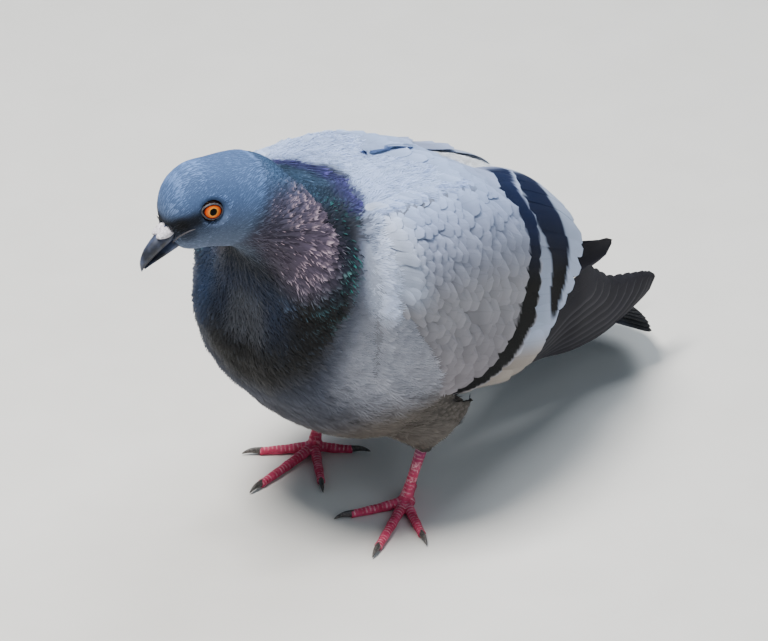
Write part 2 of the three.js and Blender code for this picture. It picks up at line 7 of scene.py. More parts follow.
import bmesh
import bpy
import numpy as np
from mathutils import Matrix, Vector


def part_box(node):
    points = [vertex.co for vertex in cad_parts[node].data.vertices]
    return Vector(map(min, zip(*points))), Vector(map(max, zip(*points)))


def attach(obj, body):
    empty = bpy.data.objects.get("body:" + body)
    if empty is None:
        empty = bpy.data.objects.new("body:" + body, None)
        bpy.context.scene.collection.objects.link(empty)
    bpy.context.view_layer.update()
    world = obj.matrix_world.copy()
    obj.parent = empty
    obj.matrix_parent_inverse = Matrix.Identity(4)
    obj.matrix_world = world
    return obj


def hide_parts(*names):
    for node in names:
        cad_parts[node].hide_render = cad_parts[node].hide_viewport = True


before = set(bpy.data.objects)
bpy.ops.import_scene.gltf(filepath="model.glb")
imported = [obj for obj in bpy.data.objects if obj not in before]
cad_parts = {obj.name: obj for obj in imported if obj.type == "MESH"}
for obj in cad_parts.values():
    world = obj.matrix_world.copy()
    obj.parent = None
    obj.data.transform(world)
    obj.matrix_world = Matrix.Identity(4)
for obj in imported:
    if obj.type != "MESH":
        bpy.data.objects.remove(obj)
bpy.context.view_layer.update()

# ---------------------------------------------------------------- driving sizes, in millimetres
MM = 0.001
FLOOR_UP = -4.6  # the floor's level on the bird's own axes
TAIL_ROOT_BACK = 104.0  # how far the flesh of the body reaches behind the bird's own origin
HEAD_TURN = math.radians(-19)
NECK_PIVOT_BACK = -70.0  # the upright axis that the neck turns about

SIDES = {1: "left", -1: "right"}

SKIN_VOXEL = 1.25
CERE_VOXEL = 0.3
LEG_VOXEL = 0.42
WINGS_SEED = 20
TAIL_SEED = 40
COAT_DEPTH = {"head": 0.6, "neck": 1.2, "body": 1.5, "wing": 0.2}
BAKE_PATCH = 0.003  # the width of a small feather on the coat's own map

EYE = {"ahead": 92.0, "up": 163.0, "side": 10.7, "radius": 5.3, "opening": (4.1, 3.3), "forward": 0.12,
       "cap": 0.53, "flatness": 0.5, "tilt": math.radians(11)}
BILL = {"ahead": 104.7, "up": 147.8, "pitch": math.radians(-35), "root": -6.0}

torso_low, torso_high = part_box("torso")
ORIGIN = np.array([
    (torso_low[0] + torso_high[0]) / 2,
    torso_high[1] - TAIL_ROOT_BACK * MM,
    -FLOOR_UP * MM,
])


def at(left, ahead, up):
    """A place on the bird's own axes."""
    return np.array([left, -ahead, up], float)


def placed(points):
    """Points on the bird's own axes, put in the frame in metres."""
    return np.asarray(points, float) * MM + ORIGIN


# ---------------------------------------------------------------- numbers
def rise(value, low, high):
    """0 below low, 1 above high, and smooth between."""
    share = np.clip((value - low) / (high - low), 0, 1)
    return share * share * (3 - 2 * share)


def lerp(first, last, share):
    return first + (last - first) * share


def normalised(vectors):
    return vectors / np.maximum(np.linalg.norm(vectors, axis=-1, keepdims=True), 1e-9)


def smooth_rows(table, places):
    """Rows of a table at places between its own rows, on a smooth curve through them all."""
    table = np.asarray(table, float)
    last = len(table) - 1
    low = np.clip(np.floor(places).astype(int), 0, last - 1)
    share = (places - low)[..., None]
    before, here, after, beyond = (table[np.clip(low + step, 0, last)] for step in (-1, 0, 1, 2))
    slope_here, slope_after = (after - before) / 2, (beyond - here) / 2
    cubic = 2 * here - 2 * after + slope_here + slope_after
    square = 3 * after - 3 * here - 2 * slope_here - slope_after
    return ((cubic * share + square) * share + slope_here) * share + here


def smooth_between(stops, values, column=1):
    """One column of a list of stops, at values of its first, on a smooth curve."""
    stops = np.asarray(stops, float)
    places = np.interp(values, stops[:, 0], np.arange(len(stops)))
    return smooth_rows(stops[:, column:column + 1], np.asarray(places))[..., 0]


def straight_between(stops, values):
    """The second column of a list of stops, at values of its first, with straight runs between them."""
    return np.interp(values, *np.transpose(stops))


def evened(table, count):
    """A smooth curve through the rows of a table, as so many rows."""
    return smooth_rows(table, np.linspace(0, len(table) - 1, count))


def full_turn(count):
    """Angles evenly round a circle."""
    return np.linspace(0, 2 * math.pi, count, endpoint=False)


def left_ahead_up(points):
    """How far points are to either side of the bird's middle, ahead and up."""
    return np.abs(points[..., 0]), -points[..., 1], points[..., 2]


def turned(points, share=1.0):
    """Points moved round the neck's axis by a share of the head's turn."""
    points = np.asarray(points, float)
    angle = HEAD_TURN * np.asarray(share, float)
    x, y = points[..., 0], points[..., 1] - NECK_PIVOT_BACK
    across = x * np.cos(angle) - y * np.sin(angle)
    back = x * np.sin(angle) + y * np.cos(angle) + NECK_PIVOT_BACK
    return np.stack([across, back, points[..., 2]], -1)


def head_direction(left, ahead, up):
    """A direction of the straight head, turned as the head is."""
    return turned(at(left, ahead, up)) - turned(at(0, 0, 0))


def colour(code):
    """A colour's linear values from its six-digit code."""
    parts = np.array([int(code[i:i + 2], 16) / 255 for i in (0, 2, 4)])
    return np.where(parts <= 0.04045, parts / 12.92, ((parts + 0.055) / 1.055) ** 2.4)


def blend(base, over, mask):
    return base * (1 - mask[..., None]) + np.asarray(over) * mask[..., None]


def painted(base, shape, layers):
    """One colour for an array of points, with others laid over it in turn, each by its mask."""
    tint = np.broadcast_to(base, (*shape, 3))
    for over, mask in layers:
        tint = blend(tint, over, mask)
    return tint


# ---------------------------------------------------------------- meshes
def new_object(name, mesh):
    piece = bpy.data.objects.new(name, mesh)
    bpy.context.scene.collection.objects.link(piece)
    return piece


def make_piece(name, points, faces):
    """A smooth piece from points on the bird's own axes."""
    mesh = bpy.data.meshes.new(name)
    mesh.from_pydata(placed(points).tolist(), [], [list(face) for face in faces])
    mesh.polygons.foreach_set("use_smooth", [True] * len(mesh.polygons))
    mesh.update()
    return new_object(name, mesh)


def store(mesh, name, kind, values):
    """A named attribute, with one value for each vertex."""
    layer = mesh.attributes.new(name, kind, "POINT")
    key = {"FLOAT": "value", "FLOAT_VECTOR": "vector", "FLOAT_COLOR": "color"}[kind]
    layer.data.foreach_set(key, np.asarray(values, np.float32).ravel())


def store_colour(mesh, name, values):
    values = np.asarray(values)
    store(mesh, name, "FLOAT_COLOR", np.concatenate([values, np.ones((len(values), 1))], 1))


def fetched(items, key, width=1, kind=np.int32):
    """One property of all the items of a mesh, as rows where it is more than one number wide."""
    values = np.empty(width * len(items), kind)
    items.foreach_get(key, values)
    return values.reshape(-1, width) if width > 1 else values


def store_map(mesh, pairs):
    """The map that a finish is baked on, from one pair of values for each face corner."""
    layer = mesh.uv_layers.new(name="OFBake")
    layer.data.foreach_set("uv", np.asarray(pairs, np.float32).ravel())


def vertex_places(mesh):
    """A mesh's vertices on the bird's own axes."""
    return (fetched(mesh.vertices, "co", 3, np.float32).astype(float) - ORIGIN) / MM


def vertex_normals(mesh):
    return fetched(mesh.vertex_normals, "vector", 3, np.float32).astype(float)


def move_vertices(mesh, points):
    mesh.vertices.foreach_set("co", placed(points).astype(np.float32).ravel())
    mesh.update()


def grid_faces(rows, columns, wrap=False, ring=False):
    """Faces of a grid of points. It closes round its columns if it wraps, round its rows if it is a ring."""
    index = np.arange(rows * columns).reshape(rows, columns)
    if ring:
        index = np.concatenate([index, index[:1]], 0)
    if wrap:
        index = np.concatenate([index, index[:, :1]], 1)
    corners = [index[:-1, :-1], index[:-1, 1:], index[1:, 1:], index[1:, :-1]]
    return np.stack([corner.ravel() for corner in corners], 1).tolist()


def loft(rings):
    """The points and faces of a closed body through rings of points, with a flat cap at each end."""
    rings = np.asarray(rings)
    count, sides = rings.shape[:2]
    faces = grid_faces(count, sides, wrap=True)
    faces.append(list(range(sides))[::-1])
    faces.append([(count - 1) * sides + i for i in range(sides)])
    return rings.reshape(-1, 3), faces


def ball(polar, sides):
    """A unit ball ring by ring, by angles from its axis: along the axis, and the two ways across it."""
    polar, around = np.asarray(polar)[:, None], full_turn(sides)[None, :]
    return np.cos(polar) + 0 * around, np.sin(polar) * np.cos(around), np.sin(polar) * np.sin(around)


def several(bodies):
    """Bodies of points and faces joined into one list of each."""
    points, faces = [], []
    for body_points, body_faces in bodies:
        offset = sum(len(part) for part in points)
        points.append(body_points)
        faces += [[offset + i for i in face] for face in body_faces]
    return np.concatenate(points), faces


def faced_outwards(piece):
    """The same closed piece with all its faces pointing out."""
    work = bmesh.new()
    work.from_mesh(piece.data)
    bmesh.ops.recalc_face_normals(work, faces=work.faces)
    work.to_mesh(piece.data)
    work.free()
    return piece


def finished(piece, material):
    """The same piece in one finish."""
    piece.data.materials.clear()
    piece.data.materials.append(material)
    return piece


def solid(name, points, faces, material):
    """A closed piece in one finish."""
    return finished(faced_outwards(make_piece(name, points, faces)), material)


def remeshed(piece, voxel, smoothing):
    """The same object as one closed surface round everything in it, with its edges softened."""
    merge = piece.modifiers.new("merge", "REMESH")
    merge.mode = "VOXEL"
    merge.voxel_size = voxel * MM
    merge.use_smooth_shade = True
    soften = piece.modifiers.new("soften", "SMOOTH")
    soften.factor = 0.5
    soften.iterations = smoothing
    graph = bpy.context.evaluated_depsgraph_get()
    mesh = bpy.data.meshes.new_from_object(piece.evaluated_get(graph), depsgraph=graph)
    piece.modifiers.clear()
    piece.data = mesh
    return piece


# ---------------------------------------------------------------- node trees
class Wire:
    """An output socket that takes part in arithmetic. Each operation adds a Math node."""

    def __init__(self, sheet, socket):
        self.sheet = sheet
        self.socket = socket

    def maths(self, operation, *terms):
        return self.sheet.node("ShaderNodeMath", {"operation": operation}, list(terms))

    def __add__(self, other):
        return self.maths("ADD", self, other)

    def __sub__(self, other):
        return self.maths("SUBTRACT", self, other)

    def __rsub__(self, other):
        return self.maths("SUBTRACT", other, self)

    def __mul__(self, other):
        return self.maths("MULTIPLY", self, other)

    def __rtruediv__(self, other):
        return self.maths("DIVIDE", other, self)

    def __pow__(self, other):
        return self.maths("POWER", self, other)

    __radd__ = __add__
    __rmul__ = __mul__


class Sheet:
    """A node tree that is being drawn up."""

    def __init__(self, tree):
        self.tree = tree

    def socket(self, sockets, key):
        """A socket by its number, its identifier or its name."""
        if isinstance(key, int):
            return sockets[key]
        matches = [socket for socket in sockets if socket.identifier == key]
        matches += [socket for socket in sockets if socket.name == key and socket.enabled]
        return matches[0]

    def node(self, kind, settings=None, values=None, output=0):
        """A new node, by its kind, its settings and its inputs' values or wires, by name or in order."""
        made = self.tree.nodes.new(kind)
        for key, value in (settings or {}).items():
            if key == "stops":
                self.set_stops(made.color_ramp, value)
            else:
                setattr(made, key, value)
        pairs = values.items() if isinstance(values, dict) else enumerate(values or [])
        for key, value in pairs:
            target = self.socket(made.inputs, key)
            if isinstance(value, Wire):
                self.tree.links.new(value.socket, target)
            else:
                target.default_value = value
        if not made.outputs:
            return made
        return Wire(self, self.socket(made.outputs, output))

    def set_stops(self, ramp, stops):
        while len(ramp.elements) > len(stops):
            ramp.elements.remove(ramp.elements[-1])
        while len(ramp.elements) < len(stops):
            ramp.elements.new(1.0)
        for element, (place, value) in zip(ramp.elements, stops):
            element.position = place
            element.color = (*value, 1.0)

    def attribute(self, name, output="Fac"):
        return self.node("ShaderNodeAttribute", {"attribute_name": name}, output=output)

    def part(self, vector, axis):
        """One of the three numbers of a vector."""
        return self.node("ShaderNodeSeparateXYZ", None, [vector], axis)

    def mix(self, factor, first, second):
        """Between two colours, each a wire or a six-digit code."""
        tones = [(*colour(tone), 1.0) if isinstance(tone, str) else tone for tone in (first, second)]
        values = {"Factor_Float": factor, "A_Color": tones[0], "B_Color": tones[1]}
        return self.node("ShaderNodeMix", {"data_type": "RGBA"}, values, "Result_Color")

    def scaled(self, tint, factor):
        """A colour made lighter or darker by a factor."""
        return self.node("ShaderNodeVectorMath", {"operation": "SCALE"}, {"Vector": tint, "Scale": factor})

    def limited(self, value, low, high):
        """0 up to a low value, 1 from a high one, and even between."""
        values = {"Value": value, "From Min": low, "From Max": high}
        return self.node("ShaderNodeMapRange", {"clamp": True}, values)

    def object_place(self):
        return self.node("ShaderNodeTexCoord", output="Object")

    def noise(self, place, scale, detail=3.0, roughness=0.5):
        values = {"Vector": place, "Scale": scale, "Detail": detail, "Roughness": roughness}
        return self.node("ShaderNodeTexNoise", None, values)

    def cells(self, place, scale):
        """How far a place is from the edge of its cell, in small irregular cells."""
        values = {"Vector": place, "Scale": scale}
        return self.node("ShaderNodeTexVoronoi", {"feature": "DISTANCE_TO_EDGE"}, values)


def new_material(name):
    """A material with an empty sheet."""
    material = bpy.data.materials.new(name)
    material.use_nodes = True
    material.node_tree.nodes.clear()
    return material, Sheet(material.node_tree)


def finish_surface(sheet, values, height=None, strength=0.3, distance=0.0002):
    """The surface shader, with an optional bump."""
    if height is not None:
        bump = {"Height": height, "Strength": strength, "Distance": distance}
        values = {**values, "Normal": sheet.node("ShaderNodeBump", None, bump)}
    shader = sheet.node("ShaderNodeBsdfPrincipled", None, values)
    sheet.node("ShaderNodeOutputMaterial", None, {"Surface": shader})


# ---------------------------------------------------------------- markings
SLATE = colour("5f7cae")
SLATE_CHEEK = colour("72829f")
LORES = colour("0b0d12")
BIB = colour("07080b")
NECK_DARK = colour("1c222e")
THROAT_BLUE = colour("202d46")
NECK_GREY = colour("565a68")
# The colours of the glints painted as highlights on the tips of the neck's feathers.
PINK_GLINT = colour("d2b8c6")
TEAL_GLINT = colour("4aa39c")
PURPLE_GLINT = colour("625da6")
STEEL_GLINT = colour("6c86a6")
# The grey of the breast and belly, darkened as painted shade on the underside of the body.
BREAST_IN_PAINTED_SHADE = colour("464c5c")
BELLY_IN_PAINTED_SHADE = colour("655f5a")
SIDE_BREAST = colour("a0a3af")
# The mantle's pale grey, made bluer and brighter as painted skylight on the top of the body.
MANTLE_WITH_PAINTED_SKYLIGHT = colour("b0c5ee")
RUMP = colour("f2f4f8")
TAIL_COVERT = colour("737a8a")
UNDER_TAIL = colour("666c78")
# The wing's pale grey, bluer high up as painted skylight and darker low down, partly its own tone and partly
# painted shade.
WING_HIGH_WITH_PAINTED_SKYLIGHT = colour("a5b2d4")
WING_PALE = colour("a2a1a8")
WING_LOW_WITH_PAINTED_SHADE = colour("8b878d")
WING_BAR = colour("07080b")
WING_TIP = colour("c0cde8")
PRIMARY = colour("2d2c33")
PRIMARY_EDGE = colour("5a585f")
TAIL_GREY = colour("3e424c")
TAIL_BAND = colour("15161b")
CHEEK_DARK = colour("62728a")
NAPE_SLATE = colour("4a6890")
NAPE = colour("2c4560")
VIOLET_DARK = colour("2b2c58")
PLUM = colour("584c5e")
THROAT_SHEEN = colour("1b2e4c")
THROAT_PALE = colour("5d6068")
SHOULDER_PALE = colour("cbd6ee")
BAR_SHEEN = colour("1d2848")
LOWER_EDGE = colour("a8977f")


# Cuts across the neck, each through a place on the back and one on the throat (ahead, up).
NECK_BASE = ((21, 150), (66, 68))
HEAD_BASE = ((67, 175), (84, 138))
TURN_START = ((50, 162), (71, 84))
TURN_END = ((76, 180), (83, 139))


def ahead_of(points, cut):
    """How far points are ahead of a cut."""
    back, front = np.array(cut)
    run = front - back
    _, ahead, up = left_ahead_up(points)
    return ((up - back[1]) * run[0] - (ahead - back[0]) * run[1]) / np.linalg.norm(run)


def straightened(points):
    """Points with the head's turn taken out. The neck takes it up evenly from one cut to another."""
    straight = points
    for _ in range(3):
        past_base = ahead_of(straight, TURN_START)
        to_nape = -ahead_of(straight, TURN_END)
        share = rise(np.clip(past_base / np.maximum(past_base + to_nape, 1e-6), 0, 1), 0, 1)
        share = np.where(to_nape <= 0, 1.0, np.where(past_base <= 0, 0.0, share))
        straight = turned(points, -share)
    return straight


def mirrored(points):
    """Points brought to the bird's left side."""
    return np.concatenate([np.abs(points[..., :1]), points[..., 1:]], -1)


def near(points, centre, radius, softness=0.5):
    """1 inside a ball on either side of the body, fading out at its edge."""
    distance = np.linalg.norm((mirrored(points) - at(*centre)) / radius, axis=-1)
    return 1 - rise(distance, 1 - softness, 1 + softness)


def near_path(points, stops, radius, softness=0.5):
    """1 inside a bent rod on either side of the body, fading out at its edge."""
    points = mirrored(points)
    masks = []
    for start, end in zip(stops, stops[1:]):
        start, run = at(*start), at(*end) - at(*start)
        share = np.clip((points - start) @ run / (run @ run), 0, 1)
        distance = np.linalg.norm(points - start - share[..., None] * run, axis=-1) / radius
        masks.append(1 - rise(distance, 1 - softness, 1 + softness))
    return np.maximum.reduce(masks)


def regions(points):
    """The parts of the plumage at straightened points: each a mask from 0 to 1."""
    left, ahead, up = left_ahead_up(points)
    head_edge = ahead_of(points, HEAD_BASE)
    neck_edge = ahead_of(points, NECK_BASE) - 0.0058 * left ** 2 - 5 * rise(left, 2, 20)
    head = rise(head_edge, -3.5, 3.5)
    front = rise(ahead, 45, 62)
    rump = rise(-ahead, 42, 54) * (1 - rise(-ahead, 96, 106)) * rise(up, 84, 97)
    return {
        "head": head,
        "head_edge": head_edge,
        "neck": rise(neck_edge, lerp(-3, -7, front), lerp(3, 7, front)) * (1 - head),
        "neck_edge": neck_edge,
        "under": 1 - rise(up, 45, 92),
        "mantle": rise(up, 112, 132) * rise(-ahead, -60, -18),
        "rump": rump * (1 - rise(left, 17, 24)),
        "tail_root": rise(-ahead, 84, 100),
    }


# The dark feathers between the bill and the eye: a line from one place to another, its radius and strength.
LORE_LINES = [
    ((1, 108.5, 153.5), (10, 105, 157.5), 3.4, 0.9),
    ((10, 105, 157.5), (14, 99.5, 160.5), 3.2, 0.9),
    ((4, 108, 154), (15, 97, 160), 6.0, 0.45),
    ((9, 104.5, 151.5), (12.5, 101, 153.5), 2.6, 0.5),
]
# Where the neck shines green and where purple: bent rods, and their radii.
TEAL_ROD = [(22, 47, 155), (34, 49, 145), (40, 57, 129)]
TEAL_RADIUS = 5.5
PURPLE_ROD = [(0, 28, 154), (13, 29, 153), (28, 36, 149)]
PURPLE_RADIUS = 5


def plumage_tints(points):
    """The colour of the plumage at straightened points, how much its feathers shine, and the colour of the
    highlight painted on their tips.
    """
    part = regions(points)
    shape = points.shape[:-1]
    left, ahead, up = left_ahead_up(points)
    side_breast = rise(left, 26, 44) * rise(up, 50, 80) * (1 - 0.8 * rise(part["neck_edge"], -15, 0))
    pink = near(points, (26, 69, 150), (16, 19, 23), 0.4) * rise(ahead, 51, 56)
    teal = near_path(points, TEAL_ROD, TEAL_RADIUS)
    purple = near_path(points, PURPLE_ROD, PURPLE_RADIUS)
    right_throat = near(points, (28, 66, 112), (9, 14, 24), 0.7) * (points[..., 0] < -6)
    collar = painted(CHEEK_DARK, shape, [(NAPE_SLATE, rise(up, 150, 166))])
    neck = painted(BIB, shape, [
        (THROAT_BLUE, rise(up, 86, 116) * (1 - rise(left, 10, 28)) * rise(ahead, 50, 66)),
        (THROAT_PALE, 0.6 * near_path(points, [(3, 73, 110), (3, 70, 102)], 7, 0.6)),
        (NECK_DARK, rise(up, 118, 132)),
        (NAPE, 0.85 * rise(up, 146, 160) * (1 - rise(left, 20, 30))),
        (PLUM, 0.7 * pink),
        (THROAT_SHEEN, 0.8 * right_throat),
        (VIOLET_DARK, 0.8 * purple),
        (NECK_GREY, (1 - rise(part["neck_edge"], 0, 6)) * rise(up, 94, 112) * (1 - purple)),
        (collar, 0.9 * rise(part["head_edge"], -17, -2) * (1 - 0.85 * pink)),
    ])
    head = painted(SLATE, shape, [
        (SLATE_CHEEK, 1 - rise(up, 150, 169)),
        (collar, 0.25 * (1 - rise(part["head_edge"], 0, 9))),
        *((LORES, strength * near_path(points, ends, radius, 0.6))
          for *ends, radius, strength in LORE_LINES),
    ])
    # The underparts in their grey darkened as painted shade, and the other markings over them.
    tint = painted(BREAST_IN_PAINTED_SHADE, shape, [
        (BELLY_IN_PAINTED_SHADE, part["under"] * (1 - 0.75 * rise(ahead, 34, 56))),
        (SIDE_BREAST, side_breast),
        # The mantle, with its painted skylight.
        (MANTLE_WITH_PAINTED_SKYLIGHT, part["mantle"]),
        (SHOULDER_PALE, near_path(points, [(43, 33, 140), (51, 42, 117)], 8)),
        (WING_PALE, rise(left, 34, 44) * rise(-ahead, -34, -16) * rise(up, 70, 90)),
        (TAIL_COVERT, part["tail_root"] * rise(up, 60, 80)),
        (UNDER_TAIL, part["tail_root"] * (1 - rise(up, 60, 80))),
        (RUMP, part["rump"]),
        (neck, part["neck"]),
        (head, part["head"]),
    ])
    faint_teal = teal * (1 - 0.3 * rise(up, 142, 152))
    # The painted glints: highlights in these colours on the feathers' tips, strongest where the neck shines.
    glint = painted(STEEL_GLINT, shape, [
        (TEAL_GLINT, np.maximum(teal, 0.5 * near(points, (40, 62, 118), 13))),
        (PURPLE_GLINT, purple),
        (PINK_GLINT, pink),
    ])
    gloss = np.maximum.reduce([pink, faint_teal, 0.65 * purple, 0.06 + 0.3 * rise(up, 92, 130)])
    return tint, part["neck"] * gloss, glint


# ---------------------------------------------------------------- wing form
# The smooth outer form of the folded wings: ahead, top, bottom and half the width.
WING_FORM = [
    [50, 143, 82, 47],
    [42, 147, 74, 52],
    [20, 150, 50, 57],
    [-20, 144, 36, 55],
    [-52, 129, 27.5, 48.5],
    [-82, 114.5, 19.5, 40.3],
    [-97, 100.5, 15, 37.8],
    [-112, 80, 12, 33.8],
    [-133, 58, 11, 28.5],
    [-172, 43, 16.5, 21],
]
DENSE_FORM = evened(WING_FORM, 400)[::-1]


def form_at(ahead):
    """The wing form's middle height, half its height and half its width at places ahead."""
    top, bottom, half = (np.interp(ahead, DENSE_FORM[:, 0], DENSE_FORM[:, k]) for k in (1, 2, 3))
    return (top + bottom) / 2, (top - bottom) / 2, half


def wing_point(ahead, turn, side):
    """A point of the wing's form by its place ahead and its angle from straight up, in degrees."""
    middle, tall, half = form_at(ahead)
    angle = np.radians(turn)
    reach = (np.abs(np.sin(angle)) ** 3 + np.abs(np.cos(angle)) ** 3) ** (-1 / 3)
    out = side * half * reach * np.sin(angle)
    up = middle + tall * reach * np.cos(angle)
    return np.stack([out, -np.asarray(ahead, float) * np.ones_like(up), up], -1)


def wing_frame(ahead, turn, side):
    """The point there, the outward direction, and the millimetres in a degree of turn."""
    point = wing_point(ahead, turn, side)
    around = wing_point(ahead, turn + 0.5, side) - wing_point(ahead, turn - 0.5, side)
    along = wing_point(ahead - 1, turn, side) - wing_point(ahead + 1, turn, side)
    outward = normalised(np.cross(around, along))
    flip = np.sign(outward[..., :1] * side)
    return point, outward * np.where(flip == 0, 1, flip), np.linalg.norm(around, axis=-1)


# The wing's flesh: how far ahead, its upper and lower turns, and how thick.
BED_STOPS = [(48, 60, 100, 2.0), (36, 36, 122, 6), (20, 26, 132, 10), (-20, 24, 131, 10), (-52, 24, 131, 8),
             (-82, 26, 131, 6), (-90, 30, 128, 4)]
# How far ahead the body's own feathers end over the front of the wing, by turn.
FRINGE = [(20, 30), (40, 34), (60, 37), (86, 37), (98, 25), (112, 16), (126, 9), (140, 4)]


def before_fringe(ahead, turn):
    """How far places of the wing are ahead of the fringe."""
    return ahead - straight_between(FRINGE, turn)


def wing_bed(side):
    """The flesh of the folded wing: a curved shell under its feathers."""
    rows = evened(BED_STOPS, 40)
    shares = np.linspace(0, 1, 30)
    turns = lerp(rows[:, 1:2], rows[:, 2:3], shares[None, :])
    ahead = np.repeat(rows[:, :1], len(shares), 1)
    point, outward, _ = wing_frame(ahead, turns, side)
    rim = 1 - 0.6 * np.abs(2 * shares - 1) ** 3
    depth = 1.5 - 1.2 * rise(before_fringe(ahead, turns), -3, 2) + 3.2 * rise(ahead, 39, 48)
    depth = depth + 4.4 * rise(-ahead, 50, 74)
    outer = point - outward * depth[..., None]
    inner = point - outward * (depth + rows[:, 3:4] * rim[None, :] + 0.5)[..., None]
    return loft(np.concatenate([outer, inner[:, ::-1]], 1))


def saddle():
    """The feathered shoulders that fill the back between the two wings."""
    ahead = np.linspace(40, -58, 30)[:, None] + np.zeros((1, 33))
    turns = np.linspace(-40, 40, 33)[None, :] + 0 * ahead
    point, outward, _ = wing_frame(ahead, turns, 1)
    outward = np.where(outward[..., 2:] < 0, -outward, outward)
    depth = (-0.5 + 9.5 * rise(-ahead, 34, 58))[..., None]
    inner = point - outward * (depth + 9)
    return loft(np.concatenate([point - outward * depth, inner[:, ::-1]], 1))


# ---------------------------------------------------------------- skin
FLESH = ["torso", "neck", "head", "thigh_left", "thigh_right"]
SOCKETS = ["eye_left", "eye_right"]


def flesh_mesh():
    """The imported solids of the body, its eye sockets filled, and the flesh of the wings and shoulders."""
    work = bmesh.new()
    for node in FLESH + SOCKETS:
        work.from_mesh(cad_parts[node].data)
    bmesh.ops.remove_doubles(work, verts=work.verts, dist=1e-6)
    for shape in (wing_bed(1), wing_bed(-1), saddle()):
        bed = faced_outwards(make_piece("bed", *shape))
        work.from_mesh(bed.data)
        bpy.data.objects.remove(bed)
    mesh = bpy.data.meshes.new("skin")
    work.to_mesh(mesh)
    work.free()
    return mesh


def make_skin():
    """One surface over the whole body, inside the solids by the coat's depth."""
    skin = remeshed(new_object("skin", flesh_mesh()), SKIN_VOXEL, 7)
    points = fill_creases(skin.data)
    part = regions(straightened(points))
    depth = lerp(COAT_DEPTH["body"], COAT_DEPTH["neck"], part["neck"])
    depth = lerp(depth, COAT_DEPTH["head"], part["head"])
    depth = lerp(depth, COAT_DEPTH["wing"], on_wing(points))
    depth = depth + 3.2 * near(points, (36, 64, 121), (15, 17, 20), 0.6) * (points[:, 0] < 0)
    depth = depth - 2.4 * near(points, (22, 70, 78), (20, 16, 24), 0.6)
    normals = vertex_normals(skin.data)
    inner = points - normals * depth[:, None]
    inner = inner - normals * (2.8 * (1 - rise(lobe_gap(inner), 1.0, 1.5)))[:, None]
    for side in SIDES:
        out, off = from_eye(inner, side)
        sunk = np.where(out > 0, np.maximum(out - 2.2, 0) * (1 - rise(off, 4.6, 6.3)), 0)
        inner = inner - np.outer(sunk, eye_axes(side)[3])
    move_vertices(skin.data, inner)
    return skin


def from_eye(points, side):
    """How far points are out from an eye's centre along its axis, and how far from that axis."""
    centre, _, _, outward = eye_axes(side)
    out = (points - centre) @ outward
    return out, np.linalg.norm(points - centre - np.outer(out, outward), axis=1)


def lobe_gap(points):
    """How far points are from the bulbs over the nostrils, where 1 is their surface."""
    centre, forward, sideways, upward = bill_axes()
    off = points - centre
    local = np.stack([off @ forward, np.abs(off @ sideways), off @ upward], 1)
    local -= (CERE["along"], CERE["side"], CERE["up"])
    local[:, 2] += CERE["slope"] * local[:, 0]
    return np.linalg.norm(local / CERE["lobe"], axis=1)


def fill_creases(mesh):
    """Points of the skin with its creases evened out: under the jaw, before the wing and over the thigh."""
    points, edges = vertex_places(mesh), fetched(mesh.edges, "vertices", 2)
    edge = ahead_of(straightened(points), HEAD_BASE)
    soft = np.maximum.reduce([
        1 - rise(np.abs(edge + 2), 7, 17),
        near_path(points, [(44, 49, 136), (47, 42, 70)], 12),
        near_path(points, [(28, 24, 34), (42, 4, 46)], 17),
    ])
    for _ in range(55):
        points = points + soft[:, None] * (relaxed(points, edges, 1) - points)
    move_vertices(mesh, points)
    return points


def wing_turn(points):
    """The angle from straight up at which points lie on the wing's form, in degrees."""
    middle, tall, half = form_at(-points[..., 1])
    return np.degrees(np.arctan2(np.abs(points[..., 0]) / half, (points[..., 2] - middle) / tall))


def on_wing(points):
    """1 where a point of the skin is close to the outer face of a wing."""
    _, ahead, up = left_ahead_up(points)
    middle, tall, half = form_at(ahead)
    across, above = np.abs(points[..., 0]) / half, (up - middle) / tall
    reach = (across ** 3 + np.abs(above) ** 3) ** (1 / 3)
    turn = wing_turn(points)
    close = rise(reach * half, half - 4.5, half - 3)
    return close * rise(turn, 28, 36) * (1 - rise(turn, 134, 140)) * rise(46 - ahead, 0, 5)


def away_from(points, edges, sources):
    """The distance along the surface from some vertices to every vertex."""
    lengths = np.linalg.norm(points[edges[:, 0]] - points[edges[:, 1]], axis=1)
    joined = [[] for _ in points]
    for (first, second), length in zip(edges.tolist(), lengths.tolist()):
        joined[first].append((second, length))
        joined[second].append((first, length))
    far = [math.inf] * len(points)
    heap = [(0.0, source) for source in sources]
    for _, source in heap:
        far[source] = 0.0
    while heap:
        distance, here = heapq.heappop(heap)
        if distance > far[here]:
            continue
        for there, length in joined[here]:
            if distance + length < far[there]:
                far[there] = distance + length
                heapq.heappush(heap, (far[there], there))
    return np.array(far)


def gathered(indices, values, count):
    """The sums of rows of values that share an index."""
    return np.stack([np.bincount(indices, column, count) for column in values.T], 1)


def relaxed(values, edges, rounds):
    """Values evened out between neighbours."""
    count = len(values)
    ends = np.concatenate([edges[:, 0], edges[:, 1]])
    others = np.concatenate([edges[:, 1], edges[:, 0]])
    weight = np.maximum(np.bincount(ends, minlength=count), 1)[:, None]
    for _ in range(rounds):
        values = 0.5 * values + 0.5 * gathered(ends, values[others], count) / weight
    return values


BACKWARDS = at(0, -1.0, -0.28) * 2.2
DOWN_THE_THIGH = at(0, -0.5, -1.0)
# The height of the body's middle line, by how far ahead it is.
MIDDLE_UP = [(-104, 70), (-60, 80), (0, 88), (40, 98), (62, 130), (90, 160), (110, 158)]


